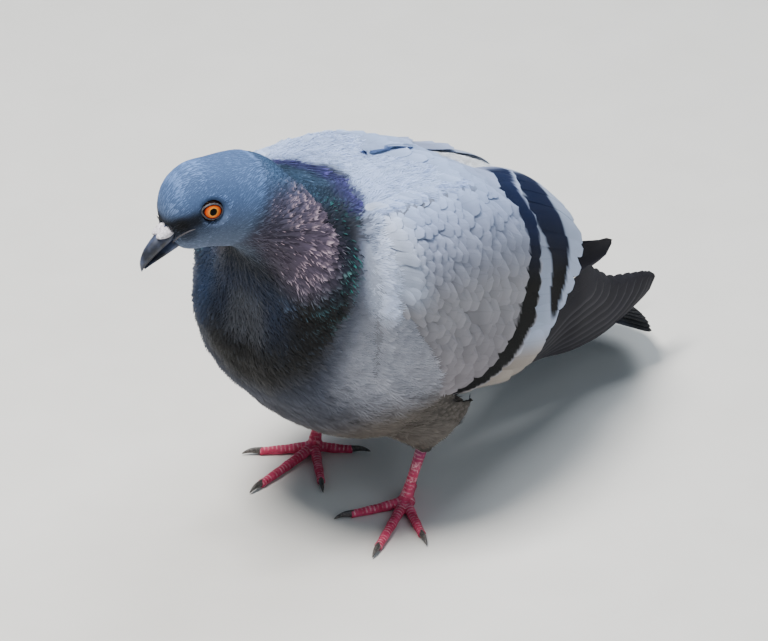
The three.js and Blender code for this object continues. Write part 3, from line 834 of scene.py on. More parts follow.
def lie_of_the_coat(mesh, points, straight):
    """The direction that feathers point in at each vertex, and how far it is from the bill over the skin."""
    edges = fetched(mesh.edges, "vertices", 2)
    bill_root = turned(at(0, BILL["ahead"], BILL["up"] + 4))
    sources = np.nonzero(np.linalg.norm(points - bill_root, axis=1) < 6)[0]
    far = away_from(points, edges, sources.tolist())
    far = np.where(np.isfinite(far), far, np.max(far[np.isfinite(far)]))
    far = relaxed(far[:, None], edges, 12)[:, 0]
    step = points[edges[:, 1]] - points[edges[:, 0]]
    slope = (far[edges[:, 1]] - far[edges[:, 0]]) / np.maximum((step ** 2).sum(1), 1e-6)
    pull = step * slope[:, None]
    lie = gathered(edges[:, 0], pull, len(points)) + gathered(edges[:, 1], pull, len(points))
    # On the body the feathers run straight back and a little down, and on the thighs down.
    part = regions(straight)
    body = 1 - np.maximum(part["head"], part["neck"])
    thigh = 1 - rise(points[:, 2], 34, 44)
    thigh = thigh * rise(np.abs(points[:, 0]), 16, 22) * rise(-points[:, 1], -36, -30)
    lie = normalised(lie) + BACKWARDS * (body * (1 - thigh))[:, None] + DOWN_THE_THIGH * thigh[:, None]
    normals = vertex_normals(mesh)

    def flat(directions):
        return normalised(directions - normals * (directions * normals).sum(1, keepdims=True))

    for _ in range(3):
        lie = relaxed(flat(lie), edges, 4)
    return flat(lie), far


def unwrap(mesh, straight, far):
    """A map of the skin's own shape: round the body one way, from bill to tail the other."""
    axis_up = straight_between(MIDDLE_UP, -straight[:, 1])
    angle = np.arctan2(straight[:, 0], straight[:, 2] - axis_up) / (2 * math.pi)
    corners = fetched(mesh.loops, "vertex_index")
    totals = fetched(mesh.polygons, "loop_total")
    face_of = np.repeat(np.arange(len(totals)), totals)
    firsts = np.concatenate([[0], np.cumsum(totals)[:-1]])
    base = angle[corners[firsts]][face_of]
    around = base + (angle[corners] - base + 0.5) % 1.0 - 0.5
    run = (far / far.max())[corners]
    store_map(mesh, 0.02 + 0.96 * np.stack([np.clip(around + 0.5, 0, 1), run], 1))


def feather_lengths(points, straight, part, face, ruff, body, flank, eye_off):
    """The length of the small feathers at each vertex, in millimetres."""
    left, _, up = left_ahead_up(straight)
    length = 3.4 - 1.5 * face - 0.8 * (1 - rise(eye_off, 4.6, 8))
    on_ruff = lerp(5.0, 7.6, rise(-part["head_edge"], 2, 14))
    on_neck = np.where(ruff, on_ruff, 6.0 - 1.4 * rise(up, 130, 160))
    length = lerp(length, on_neck, 1 - part["head"])
    length = length * (1 - 0.3 * (1 - part["head"]) * rise(up, 148, 164))
    length = length * (1 - 0.5 * near_path(points, [(4, 60, 168), (15, 45, 153)], 9))
    on_body = 8.6 - 2.2 * rise(left, 30, 42) * rise(up, 70, 90)
    return lerp(length, on_body, body) * (1 - 0.6 * flank)


def dress_skin(skin):
    """The skin's markings, the lie of its coat and where each kind of feather grows, as attributes."""
    mesh = skin.data
    points = vertex_places(mesh)
    straight = straightened(points)
    lie, far = lie_of_the_coat(mesh, points, straight)
    unwrap(mesh, straight, far)
    part = regions(straight)
    tint, gloss, glint = plumage_tints(straight)
    store_colour(mesh, "tint", tint)
    store_colour(mesh, "glint", glint)
    store(mesh, "gloss", "FLOAT", gloss)
    store(mesh, "lie", "FLOAT_VECTOR", lie)

    left, ahead, up = left_ahead_up(straight)
    eye_gap = np.min([np.linalg.norm(points - eye_axes(side)[0], axis=1) for side in SIDES], 0)
    bill_gap = np.linalg.norm(straight - at(0, BILL["ahead"] + 3, BILL["up"]), axis=1)
    face = 1 - rise(np.minimum(eye_gap - EYE["radius"], bill_gap - 5), 0, 16)
    wing, turn = on_wing(points), wing_turn(points)
    wing_front = wing * rise(before_fringe(ahead, turn), -1.5, 0.5)
    wing_top = wing * (1 - rise(turn, 33, 38)) * rise(ahead, -24, -14)
    bare = np.clip(wing - wing_front - wing_top, 0, 1) > 0.5
    eyes = [from_eye(points, side) for side in SIDES]
    eye_off = np.min([np.where(out > 0, off, 99) for out, off in eyes], 0)
    bare |= eye_off < EYE["opening"][0] + 0.7
    bare |= bill_gap < 4.5
    bare |= lobe_gap(points) < 1.35
    flank = np.maximum.reduce([
        near_path(points, [(46, 0, 48), (40, -40, 40)], 9),
        near_path(points, [(42, -16, 38), (32, -50, 26)], 11),
        0.6 * near_path(points, [(30, -2, 26), (33, -8, 20)], 9),
    ])
    bare |= (flank > 0.3) & (vertex_normals(mesh)[:, 0] * np.sign(points[:, 0]) < 0.15)

    head, neck = part["head"] > 0.5, part["neck"] > 0.4
    ruff = rise(np.maximum(left - 10, 0) + np.maximum(58 - ahead, 0), 3, 9) * rise(up, 114, 120) > 0.5
    ruff &= part["head_edge"] < -6
    towards_tail = rise(-ahead, 20, 90)
    upper = rise(up, lerp(112, 84, towards_tail), lerp(124, 96, towards_tail)) > 0.5
    fore = ahead > 22
    covers = {
        "head": head,
        "ruff": ~head & neck & ruff,
        "neck": ~head & neck & ~ruff,
        "back": ~head & ~neck & upper,
        "breast": ~head & ~neck & ~upper & fore,
        "belly": ~head & ~neck & ~upper & ~fore,
    }
    for name, cover in covers.items():
        store(mesh, f"cover_{name}", "FLOAT", cover & ~bare)
    body = (1 - part["head"] - part["neck"]) * ~bare
    lengths = feather_lengths(points, straight, part, face, ruff, body, flank, eye_off)
    store(mesh, "length", "FLOAT", lengths * MM)


# ---------------------------------------------------------------- small feathers
def blade(length, width, rows, fold, droop):
    """A tapered blade of three columns, folded along its middle. Its length runs along +Y, up is +Z."""
    shares = np.linspace(0, 1, rows)
    to_widest, to_tip = shares / 0.55, (shares - 0.55) / 0.45
    outline = np.where(shares < 0.55, lerp(0.62, 1.0, to_widest), 1 - to_tip ** 2 * 0.96)
    points = []
    for share, half in zip(shares, outline * width / 2):
        reach = length * share
        for edge in (-1, 0, 1):
            points.append([edge * half, reach, -droop * reach ** 2 - fold * abs(edge) * half])
    return np.array(points), grid_faces(rows, 3)


def barb(heading, length, width, start, droop):
    """A single thin barb: a long triangle that bends once."""
    side, forward = math.sin(heading), math.cos(heading)
    points = []
    for share, edge in ((0, -0.5), (0, 0.5), (0.55, -0.4), (0.55, 0.4), (1, 0)):
        reach, across = length * share, edge * width
        points.append([
            start[0] + side * reach + forward * across,
            start[1] + forward * reach - side * across,
            start[2] - droop * reach ** 2,
        ])
    return np.array(points), [[0, 1, 3, 2], [2, 3, 4]]


def make_plume(name, bodies):
    """A small feather to be set out over the skin, 1 long, with its own map."""
    points, faces = several(bodies)
    mesh = bpy.data.meshes.new(name)
    mesh.from_pydata(points.tolist(), [], faces)
    spot = np.stack([points[:, 0] + 0.5, points[:, 1], np.zeros(len(points))], 1)
    store(mesh, "spot", "FLOAT_VECTOR", spot)
    mesh.update()
    return new_object(name, mesh)


def pair_of_barbs(heading, length, width, across, along, up):
    """A barb on each side of the blade, from its own place along it."""
    return [barb(side * heading, length, width, (side * across, start, up), 0.3)
            for side, start in zip(SIDES, along)]


def soft_barbs(count):
    """Loose barbs at the root of a downy feather, shorter and wider spread one after another."""
    barbs = []
    for n in range(count):
        for side in (-1, 1):
            start = (side * (0.05 + 0.045 * n), 0.36 - 0.05 * n, -0.01 * n)
            barbs.append(barb(side * (0.16 + 0.15 * n), 0.62 - 0.06 * n, 0.05, start, 0.2))
    return barbs


PLUMES = {
    "fine": [blade(1, 0.3, 4, 0.5, 0.22)],
    "lance": [blade(1, 0.34, 5, 0.45, 0.2), *pair_of_barbs(0.42, 0.5, 0.07, 0.08, (0.35, 0.38), -0.03)],
    "scale": [blade(1, 0.42, 7, 0.35, 0.16), *pair_of_barbs(0.3, 0.34, 0.05, 0.12, (0.6, 0.6), -0.04)],
    "soft": [blade(0.9, 0.36, 4, 0.3, 0.16), *soft_barbs(3)],
}


def plumage_tree():
    """Sets plumes out over a surface by its own attributes and makes one mesh of them."""
    tree = bpy.data.node_groups.new("plumage", "GeometryNodeTree")
    inputs = [
        ("Skin", "NodeSocketGeometry"), ("Plume", "NodeSocketObject"), ("Finish", "NodeSocketMaterial"),
        ("Cover", "NodeSocketString"), ("Spacing", "NodeSocketFloat"), ("Size", "NodeSocketFloat"),
        ("Lift", "NodeSocketFloat"), ("Stray", "NodeSocketFloat"), ("Patch", "NodeSocketFloat"),
        ("Seed", "NodeSocketInt"),
    ]
    for name, kind in inputs:
        tree.interface.new_socket(name, in_out="INPUT", socket_type=kind)
    tree.interface.new_socket("Coat", in_out="OUTPUT", socket_type="NodeSocketGeometry")
    sheet = Sheet(tree)
    source = tree.nodes.new("NodeGroupInput")
    given = {name: Wire(sheet, source.outputs[name]) for name, _ in inputs}

    def named(name, kind):
        return sheet.node("GeometryNodeInputNamedAttribute", {"data_type": kind}, {"Name": name})

    def chance(low, high, salt):
        values = {"Min_001": low, "Max_001": high, "Seed": given["Seed"] + salt}
        return sheet.node("FunctionNodeRandomValue", {"data_type": "FLOAT"}, values, "Value_001")

    spread = {
        "Mesh": given["Skin"],
        "Distance Min": given["Spacing"],
        "Density Max": 3.0 / (given["Spacing"] * given["Spacing"]),
        "Density Factor": named(given["Cover"], "FLOAT"),
        "Seed": given["Seed"],
    }
    roots = sheet.node("GeometryNodeDistributePointsOnFaces", {"distribute_method": "POISSON"}, spread)
    normal = Wire(sheet, roots.socket.node.outputs["Normal"])
    roots = sheet.node("GeometryNodeStoreNamedAttribute", {"data_type": "FLOAT", "domain": "POINT"}, {
        "Geometry": roots, "Name": "shade", "Value": chance(0.0, 1.0, 11)})
    axes = {"primary_axis": "Z", "secondary_axis": "Y"}
    lie = named("lie", "FLOAT_VECTOR")
    stance = sheet.node("FunctionNodeAxesToRotation", axes, {"Primary Axis": normal, "Secondary Axis": lie})
    turn = sheet.node("ShaderNodeCombineXYZ", None, {
        "X": given["Lift"] * chance(0.7, 1.3, 21),
        "Y": given["Stray"] * chance(-1.0, 1.0, 22),
        "Z": given["Stray"] * chance(-1.0, 1.0, 23),
    })
    turn = sheet.node("FunctionNodeEulerToRotation", None, [turn])
    stance = sheet.node("FunctionNodeRotateRotation", {"rotation_space": "LOCAL"}, [stance, turn])
    size = named("length", "FLOAT") * given["Size"] * chance(0.82, 1.18, 31)
    broad = size * chance(0.85, 1.2, 32)
    scale = sheet.node("ShaderNodeCombineXYZ", None, {"X": broad, "Y": size, "Z": size})
    settings = {"transform_space": "ORIGINAL"}
    shape = sheet.node("GeometryNodeObjectInfo", settings, {"Object": given["Plume"]}, "Geometry")
    coat = sheet.node("GeometryNodeInstanceOnPoints", None, {
        "Points": roots, "Instance": shape, "Rotation": stance, "Scale": scale})
    coat = sheet.node("GeometryNodeRealizeInstances", None, {"Geometry": coat})
    # On the map each feather has a small patch of its own round the place where it grows.
    terms = [named("spot", "FLOAT_VECTOR"), (0.5, 0.5, 0.0)]
    offset = sheet.node("ShaderNodeVectorMath", {"operation": "SUBTRACT"}, terms)
    terms = [named("OFBake", "FLOAT_VECTOR"), sheet.scaled(offset, given["Patch"])]
    patch = sheet.node("ShaderNodeVectorMath", {"operation": "ADD"}, terms)
    coat = sheet.node("GeometryNodeStoreNamedAttribute", {"data_type": "FLOAT2", "domain": "CORNER"}, {
        "Geometry": coat, "Name": "OFBake", "Value": patch})
    coat = sheet.node("GeometryNodeSetShadeSmooth", None, {"Geometry": coat, "Shade Smooth": True})
    coat = sheet.node("GeometryNodeSetMaterial", None, {"Geometry": coat, "Material": given["Finish"]})
    target = tree.nodes.new("NodeGroupOutput")
    tree.links.new(coat.socket, target.inputs[0])
    return tree


def grow_coat(name, skin, tree, values):
    """A coat piece: the tree run over the skin, and its result kept as a plain mesh."""
    carrier = new_object(f"{name}_carrier", skin.data)
    modifier = carrier.modifiers.new("plumage", "NODES")
    modifier.node_group = tree
    for item in tree.interface.items_tree:
        if item.in_out == "INPUT" and item.name in values:
            modifier[item.identifier] = values[item.name]
    carrier.update_tag()
    graph = bpy.context.evaluated_depsgraph_get()
    mesh = bpy.data.meshes.new_from_object(
        carrier.evaluated_get(graph), preserve_all_data_layers=True, depsgraph=graph)
    mesh.name = name
    bpy.data.objects.remove(carrier)
    return new_object(name, mesh)


# ---------------------------------------------------------------- vanes
def vane_grid(rows, columns):
    """Shares along a vane, with its rows closer together towards the tip, and places across it."""
    along = np.linspace(0, 1, rows) ** 0.8
    across = np.linspace(-1, 1, columns)
    return along[None, :, None], across[None, None, :]


def outline_of(along, roundness, root):
    """Half the width of a vane along its length, where its widest half is 1."""
    bulge = lerp(root, 1.0, np.minimum(along / 0.5, 1) ** 0.8)
    tip = np.clip((along - roundness) / (1 - roundness), 0, 1)
    return bulge * np.sqrt(np.clip(1 - 0.985 * tip ** 2.2, 0, 1))


def vane_faces(count, rows, columns, flip):
    """Faces of many closed vanes: an upper and a lower grid each, with a rim."""
    size = rows * columns
    upper = np.array(grid_faces(rows, columns))
    lower = upper[:, ::-1] + size
    index = np.arange(size).reshape(rows, columns)
    edge = np.concatenate([index[0, :], index[1:, -1], index[-1, -2::-1], index[-2:0:-1, 0]])
    following = np.roll(edge, -1)
    rim = np.stack([edge, edge + size, following + size, following], 1)
    one = np.concatenate([upper, lower, rim])
    faces = (one[None] + (np.arange(count) * 2 * size)[:, None, None]).reshape(-1, 4)
    return faces[:, ::-1] if flip else faces


def span_of(across, along, share, shape):
    """Each point's place on its own vane: millimetres across and along it, and its share of the length."""
    return np.stack([np.broadcast_to(values, shape) for values in (across, along, share)], -1)


def atlas(count, spot):
    """A place of its own on a square map for each of many vanes."""
    cells = math.ceil(math.sqrt(count))
    number = np.arange(count)
    corner = np.stack([number % cells, number // cells], 1) / cells
    return corner[:, None, None, :] + (0.06 + 0.88 * spot) / cells


class Vanes:
    """Vanes gathered into one piece."""

    def __init__(self):
        self.parts = []

    def add(self, top, outward, thickness, spans, tint, shade, flip):
        """Vanes by the points of their upper faces (count, rows, columns), in millimetres."""
        count, rows, columns = top.shape[:3]

        def on_both_faces(upper, lower):
            return np.stack([upper, lower], 1).reshape(-1, upper.shape[-1])

        self.parts.append({
            "points": on_both_faces(top, top - outward * thickness),
            "faces": vane_faces(count, rows, columns, flip),
            "spans": on_both_faces(spans, spans),
            "tint": on_both_faces(tint, tint),
            "shade": np.repeat(shade, 2 * rows * columns),
            "shape": (count, rows, columns),
        })

    def piece(self, name, material):
        """All the vanes as one mesh, each with a place of its own on the map."""
        offset, number, faces, pairs = 0, 0, [], []
        total = sum(part["shape"][0] for part in self.parts)
        for part in self.parts:
            count, rows, columns = part["shape"]
            faces.append(part["faces"] + offset)
            offset += len(part["points"])
            along, across = np.meshgrid(np.linspace(0, 1, rows), np.linspace(0, 1, columns), indexing="ij")
            spot = np.stack([across, along], -1)[None]
            upper = atlas(total, spot)[number:number + count]
            lower = atlas(total, 0.1 + 0.8 * spot)[number:number + count]
            pairs.append(np.stack([upper, lower], 1).reshape(-1, 2))
            number += count
        joined = {key: np.concatenate([part[key] for part in self.parts])
                  for key in ("points", "spans", "tint", "shade")}
        piece = make_piece(name, joined["points"], np.concatenate(faces).tolist())
        mesh = piece.data
        mesh.set_sharp_from_angle(angle=math.radians(50))
        store_colour(mesh, "tint", joined["tint"])
        store(mesh, "shade", "FLOAT", joined["shade"])
        store(mesh, "span", "FLOAT_VECTOR", joined["spans"])
        store_map(mesh, np.concatenate(pairs)[fetched(mesh.loops, "vertex_index")])
        return finished(piece, material)


# The lines that the bars and edges of the folded wing follow: angle from straight up, place ahead. A bar
# also has half its width.
FIRST_BAR = [(10, -68, 6), (24, -64, 6.5), (36, -56, 6), (46, -56, 4.8), (58, -56.2, 4.4), (69, -54.8, 4.6),
             (85, -50.5, 6), (101, -45.5, 6.8), (114, -35, 8.2), (123, -24, 9), (134, -12, 8), (145, 0, 6)]
SECOND_BAR = [(10, -80, 8), (26, -78, 9.5), (36, -77, 8.5), (47, -75, 10.5), (56, -76.5, 10), (63, -78, 8.8),
              (75, -78.3, 6.8), (93, -75, 5.2), (101, -72, 3.2), (107, -69, 0), (150, -50, 0)]
REAR_EDGE = [(10, -96), (22, -98), (40, -101), (54, -99.5), (65, -97), (79, -92), (96, -80), (106, -71),
             (125, -59), (138, -48), (150, -36)]
FRONT_EDGE = [(20, 10), (30, 22), (45, 33), (60, 37), (80, 39), (100, 40), (111, 36), (123, 22), (138, 2)]
SHOULDER = [(0, -40), (14, -44), (24, -48), (34, -40), (42, -26), (50, -8)]


def wing_tints(ahead, turn, tier, side):
    """The colour of the wing's vanes by their place on the wing."""
    if tier == "primary":
        return painted(PRIMARY, ahead.shape, [])
    first, first_half = (smooth_between(FIRST_BAR, turn, column) for column in (1, 2))
    second, second_half = (smooth_between(SECOND_BAR, turn, column) for column in (1, 2))
    behind = rise(first - ahead, first_half, first_half + 4)
    tint = painted(WING_PALE, ahead.shape, [
        # Bluer on top as painted skylight, darker low down partly as painted shade, and near the back the
        # mantle's colour with its painted skylight.
        (WING_HIGH_WITH_PAINTED_SKYLIGHT, 1 - rise(turn, 40, 84)),
        (WING_LOW_WITH_PAINTED_SHADE, rise(turn, 84, 122)),
        (MANTLE_WITH_PAINTED_SKYLIGHT, (1 - rise(turn, 30, 56)) * rise(ahead, -60, -30)),
        (SHOULDER_PALE, rise(ahead, 16, 32) * (1 - rise(turn, 72, 88))),
        (WING_TIP, behind),
        (LOWER_EDGE, 0.8 * behind * rise(turn, 108, 124)),
    ])
    bar = painted(WING_BAR, ahead.shape, [(BAR_SHEEN, 1 - rise(turn, 50, 85))])
    # The bars begin lower on the right wing.
    shown = rise(turn, 15, 22) if side > 0 else rise(turn, 30, 37)
    if tier == "greater":
        off_bar = rise(np.abs(ahead - first), first_half - 0.3, first_half + 0.4)
        tint = blend(tint, bar, shown - shown * off_bar)
    if tier == "secondary":
        on_bar = 1 - rise(np.abs(ahead - second), second_half - 0.3, second_half + 0.4)
        tint = blend(tint, bar, on_bar * shown * rise(second_half, 0.5, 2.5))
    return tint


TIERS = {
    # line: what the tips follow; bar: how many of the bar's half widths ahead of it; before: how far ahead
    # of that each row is; turns: from where to where on the wing; long, wide, thick: the vane; gap: from one
    # vane to the next; root, tip: their height over the wing's form; tilt: how far one edge is over the
    # other; drift: how far a vane leans, in degrees; blunt: where its tip begins; wander: how uneven the
    # vanes are; shrink: how much smaller the last row is
    "secondary": {"line": REAR_EDGE, "bar": 0, "before": [0.0], "turns": (20, 138),
                  "long": 46, "wide": 17, "thick": 0.14, "gap": 7.4, "rows": 25, "columns": 7,
                  "root": -2.2, "tip": 0.0, "tilt": 0.35, "drift": -5, "blunt": 0.82, "wander": 0.5},
    "greater": {"line": FIRST_BAR, "bar": -1, "before": [-1.0], "turns": (20, 136),
                "long": 26, "wide": 12.5, "thick": 0.13, "gap": 7.0, "rows": 17, "columns": 7,
                "root": -1.5, "tip": 0.45, "tilt": 0.3, "drift": -4, "blunt": 0.78, "wander": 0.5},
    "median": {"line": FIRST_BAR, "bar": 1, "before": [0.6], "turns": (24, 140),
               "long": 19, "wide": 12.5, "thick": 0.12, "gap": 7.4, "rows": 9, "columns": 7,
               "root": -1.2, "tip": 0.6, "tilt": 0.3, "drift": -4, "blunt": 0.7, "wander": 1.0},
    "lesser": {"line": FIRST_BAR, "bar": 1, "before": [6.0 + 6.4 * n - 0.1 * n ** 2 for n in range(15)],
               "turns": (32, 135), "long": 17, "wide": 12.5, "thick": 0.12, "gap": 7.6, "rows": 9,
               "columns": 5, "root": -1.0, "tip": 0.8, "tilt": 0.25, "drift": -3, "blunt": 0.66,
               "wander": 1.8, "shrink": 0.45},
    "scapular": {"line": SHOULDER, "bar": 0, "before": [8.0 * n for n in range(3)], "turns": (2, 42),
                 "long": 21, "wide": 13, "thick": 0.14, "gap": 8.0, "rows": 11, "columns": 7,
                 "root": -1.4, "tip": 0.4, "tilt": 0.1, "drift": -2, "blunt": 0.6, "wander": 1.2},
}
# How far ahead the roots of the vanes reach, a little under the fringe.
ROOT_LIMIT = [(turn, ahead + 2.5) for turn, ahead in FRINGE]


def tier_vanes(vanes, name, side, rng):
    """The rows of one tier, each an even run of vanes along the line of its tips."""
    tier = TIERS[name]
    for number, before in enumerate(tier["before"]):
        size = 1 - tier.get("shrink", 0) * number / len(tier["before"])
        turns = np.linspace(*tier["turns"], 200)
        tips = smooth_between(tier["line"], turns) + before
        if tier["bar"]:
            tips = tips + tier["bar"] * smooth_between(tier["line"], turns, 2)
        keep = tips < smooth_between(FRONT_EDGE, turns)
        if keep.sum() < 8:
            continue
        turns, tips = turns[keep], tips[keep]
        points = wing_point(tips, turns, side)
        run = np.concatenate([[0], np.cumsum(np.linalg.norm(np.diff(points, axis=0), axis=1))])
        gap = tier["gap"] * size
        count = int(run[-1] / gap) + 1
        stops = (np.arange(count) + rng.uniform(0.1, 0.9)) * gap
        stops = stops + rng.normal(0, 0.09 * tier["wander"] * gap, count)
        turn = np.interp(stops, run, turns)
        tip = np.interp(turn, turns, tips) + rng.normal(0, 0.75 * tier["wander"] * size, count)
        long = tier["long"] * size * rng.uniform(0.92, 1.08, count)
        long = np.minimum(long, straight_between(ROOT_LIMIT, turn) - tip)
        room = long > 0.35 * tier["long"]
        if room.any():
            lay_vanes(vanes, name, side, rng, turn[room], tip[room], long[room])


def lay_vanes(vanes, name, side, rng, turn, tip, long):
    """Vanes on the wing's form, from the places of their tips."""
    tier = TIERS[name]
    s, x = vane_grid(tier["rows"], tier["columns"])
    count = len(turn)

    def each(values):
        return values[:, None, None]

    width = tier["wide"] / 2
    half = outline_of(s, tier["blunt"], 0.62) * width
    half = half * each(rng.uniform(0.86, 1.16, count) * np.clip(long / tier["long"], 0.5, 1))
    ahead = each(tip) + each(long) * (1 - s) + 0 * x
    sway = each(rng.normal(0, 1.6 * tier["wander"], count))
    middle = each(turn) + (tier["drift"] + sway) * (1 - s) + 0 * x
    _, _, per_degree = wing_frame(ahead, middle, side)
    degrees = middle + half * x / per_degree
    point, outward, _ = wing_frame(ahead, degrees, side)
    ruffled = rise(np.sin(turn * 0.21 + 1.3 * side) * np.sin(tip * 0.17 + turn * 0.05), 0.35, 0.95)
    lift = each(0.55 * ruffled * tier["wander"] + rng.normal(0, 0.14, count))
    height = lerp(tier["root"], tier["tip"] + lift, s ** 1.2)
    height = height + tier["tilt"] * x - 0.35 * x ** 2 * (0.4 + 0.6 * s)
    nick = rng.normal(0, 0.1, (count, 1, tier["columns"])) * rise(s, 0.75, 1.0)
    top = point + outward * (height + nick)[..., None]
    shade = rng.uniform(0, 1, count)
    wander = each(rng.normal(0, 0.35, count))
    tint = wing_tints(ahead + wander, degrees, name, side)
    spans = span_of(half * x, each(long) * s, s, ahead.shape)
    vanes.add(top, outward, tier["thick"], spans, tint, shade, side < 0)


# tips: how far ahead and at what turn the vanes end on each side, from the first to the last
PRIMARIES = {"count": 10, "width": 17, "thick": 0.16, "rows": 26, "columns": 9, "pitch": 0.36, "first": 1.0,
             "root_ahead": -50, "root_turn": (118, 151), "sweep": 1.6,
             "tips": {1: [(-112, 70), (-128, 65), (-146, 66), (-160, 76), (-167, 88)],
                      -1: [(-120, 78), (-137, 76), (-156, 79), (-169, 84), (-178, 88)]}}


def primary_vanes(vanes, side, rng):
    """The long flight feathers, stacked under the secondaries, each one deeper and longer than the last."""
    plan = PRIMARIES
    s, x = vane_grid(plan["rows"], plan["columns"])
    share = np.linspace(0, 1, plan["count"])[:, None, None]
    places = np.linspace(0, 1, len(plan["tips"][side]))
    tip, tip_turn = (np.interp(share, places, stops) for stops in np.transpose(plan["tips"][side]))
    ahead = lerp(plan["root_ahead"], tip, s) + 0 * x
    middle = lerp(lerp(*plan["root_turn"], share), tip_turn, s ** plan["sweep"]) + 0 * x
    half = outline_of(s, 0.85, 0.8) * plan["width"] / 2 * lerp(1.0, 0.94, s)
    _, _, per_degree = wing_frame(ahead, middle, side)
    degrees = middle + half * x / per_degree
    point, outward, _ = wing_frame(ahead, degrees, side)
    layer = np.arange(plan["count"])[:, None, None]
    height = -plan["first"] - plan["pitch"] * layer + 0.2 * x - 0.3 * x ** 2
    top = point + outward * height[..., None]
    tint = wing_tints(ahead, degrees, "primary", side)
    tint = blend(tint, PRIMARY_EDGE, 0.6 * rise(x, 0.72, 1.0) * np.ones_like(ahead))
    spans = span_of(half * x, (plan["root_ahead"] - tip) * s, s, ahead.shape)
    vanes.add(top, outward, plan["thick"], spans, tint, rng.uniform(0, 1, plan["count"]), side < 0)


def make_wing(side, material, seed):
    """All the vanes of one wing as a piece."""
    rng = np.random.default_rng(seed)
    vanes = Vanes()
    primary_vanes(vanes, side, rng)
    for name in TIERS:
        tier_vanes(vanes, name, side, rng)
    return vanes.piece(f"plumes_{SIDES[side]}_wing", material)


TAIL = {"root_ahead": -80, "root_up": 60, "tip_ahead": -168, "tip_up": 7, "root_half": 11, "tip_half": 27,
        "rise": 3.5, "pairs": 6, "width": 20, "pitch": 0.5, "thick": 0.2, "rows": 22, "columns": 7}


def tail_point(across, share, depth):
    """A point under the tail's upper face: across from -1 to 1, share from its root to its tip."""
    half = lerp(TAIL["root_half"], TAIL["tip_half"], share)
    ahead = lerp(TAIL["root_ahead"], TAIL["tip_ahead"], share)
    up = lerp(TAIL["root_up"], TAIL["tip_up"], share) + TAIL["rise"] * (1 - across ** 2) - depth
    return np.stack([across * half, -ahead, up], -1)


def make_tail(material, seed):
    """Six pairs of tail feathers, the middle pair on top."""
    rng = np.random.default_rng(seed)
    vanes = Vanes()
    s, x = vane_grid(TAIL["rows"], TAIL["columns"])
    long = TAIL["root_ahead"] - TAIL["tip_ahead"]
    for number in range(TAIL["pairs"]):
        for side in SIDES:
            share = s * (1 - 0.01 * number ** 1.5) + 0 * x
            half = outline_of(s, 0.86, 0.7) * TAIL["width"] / 2 * lerp(0.55, 1.0, s)
            centre = side * (0.1 + 0.66 * number / (TAIL["pairs"] - 1))
            place = centre + side * half * x / lerp(TAIL["root_half"], TAIL["tip_half"], share)
            depth = TAIL["pitch"] * (number + (0.5 if side < 0 else 0)) + 0.3 * x ** 2 - 0.2 * x
            top = tail_point(place, share, depth)
            outward = np.broadcast_to(normalised(np.array([0, 0.5, 0.86])), top.shape)
            tint = painted(TAIL_GREY, share.shape, [(TAIL_BAND, rise(share, 0.66, 0.74))])
            spans = span_of(half * x, long * s, s, share.shape)
            vanes.add(top, outward, TAIL["thick"], spans, tint, rng.uniform(0, 1, 1), side > 0)
    return vanes.piece("plumes_tail", material)


# ---------------------------------------------------------------- feather finishes
def plume_finish(name, roughness, contrast):
    """Small feathers: the markings, darker towards their roots as painted shade between them, with a painted
    glint on one side of some tips.
    """
    material, sheet = new_material(name)
    tint = sheet.attribute("tint", "Color")
    shade = sheet.attribute("shade")
    spot = sheet.attribute("spot", "Vector")
    across, along = sheet.part(spot, "X"), sheet.part(spot, "Y")
    cloud = sheet.noise(sheet.object_place(), 90.0, 2.0)
    value = (1.0 - contrast * 0.5) + contrast * shade * 0.55
    # Darker towards the root: painted shade where the feathers lie over one another.
    value = value * (0.62 + 0.5 * sheet.limited(along, 0.05, 0.75))
    value = value * (0.84 + 0.32 * cloud)
    # A painted glint: a streak of the glint colour on one side of the tips of glossy feathers, as if lit
    # from above.
    painted_glint = sheet.attribute("gloss") * sheet.limited(shade, 0.1, 0.7) * sheet.limited(along, 0.6, 0.8)
    painted_glint = painted_glint * (0.12 + 0.88 * sheet.limited(across, 0.46, 0.56))
    values = {
        "Base Color": sheet.mix(painted_glint, sheet.scaled(tint, value), sheet.attribute("glint", "Color")),
        "Roughness": roughness - 0.25 * painted_glint,
        "Metallic": 0.5 * painted_glint,
        "Specular IOR Level": 0.22,
    }
    finish_surface(sheet, values)
    return material


def vane_finish():
    """Vanes: fine barbs at a slant on both sides of the shaft, darker towards the root as painted shade
    where other vanes overlap it.
    """
    material, sheet = new_material("vane")
    tint = sheet.attribute("tint", "Color")
    shade = sheet.attribute("shade")
    span = sheet.attribute("span", "Vector")
    across, along, share = (sheet.part(span, axis) for axis in "XYZ")
    off = across.maths("ABSOLUTE", across)
    place = sheet.object_place()
    wave = (along - off * 1.1) * 9.0 + sheet.noise(place, 260.0, 2.0) * 3.0
    barbs = wave.maths("SINE", wave)
    cloud = sheet.noise(place, 70.0, 3.0)
    shaft = 1.0 - sheet.limited(off, 0.15, 0.4)
    value = 0.9 + 0.16 * (shade - 0.5) + 0.05 * barbs
    # Darker towards the root: painted shade where the vanes in front lie over this one.
    value = value * (0.84 + 0.25 * cloud) * (0.7 + 0.3 * sheet.limited(share, 0.5, 0.97)) - 0.05 * shaft
    values = {
        "Base Color": sheet.scaled(tint, value),
        "Roughness": 0.64 + 0.1 * cloud,
        "Specular IOR Level": 0.1,
    }
    finish_surface(sheet, values, height=barbs * 0.5 + cloud, strength=0.35, distance=0.00025)
    return material


def skin_finish():
    """The down between the feathers: their markings, darkened as painted shade in the gaps between them."""
    material, sheet = new_material("down")
    fluff = sheet.noise(sheet.object_place(), 900.0, 4.0, 0.7)
    values = {
        "Base Color": sheet.scaled(sheet.attribute("tint", "Color"), 0.28 + 0.35 * fluff),
        "Roughness": 0.9,
        "Specular IOR Level": 0.2,
    }
    finish_surface(sheet, values, height=fluff, strength=0.5, distance=0.0003)
    return material


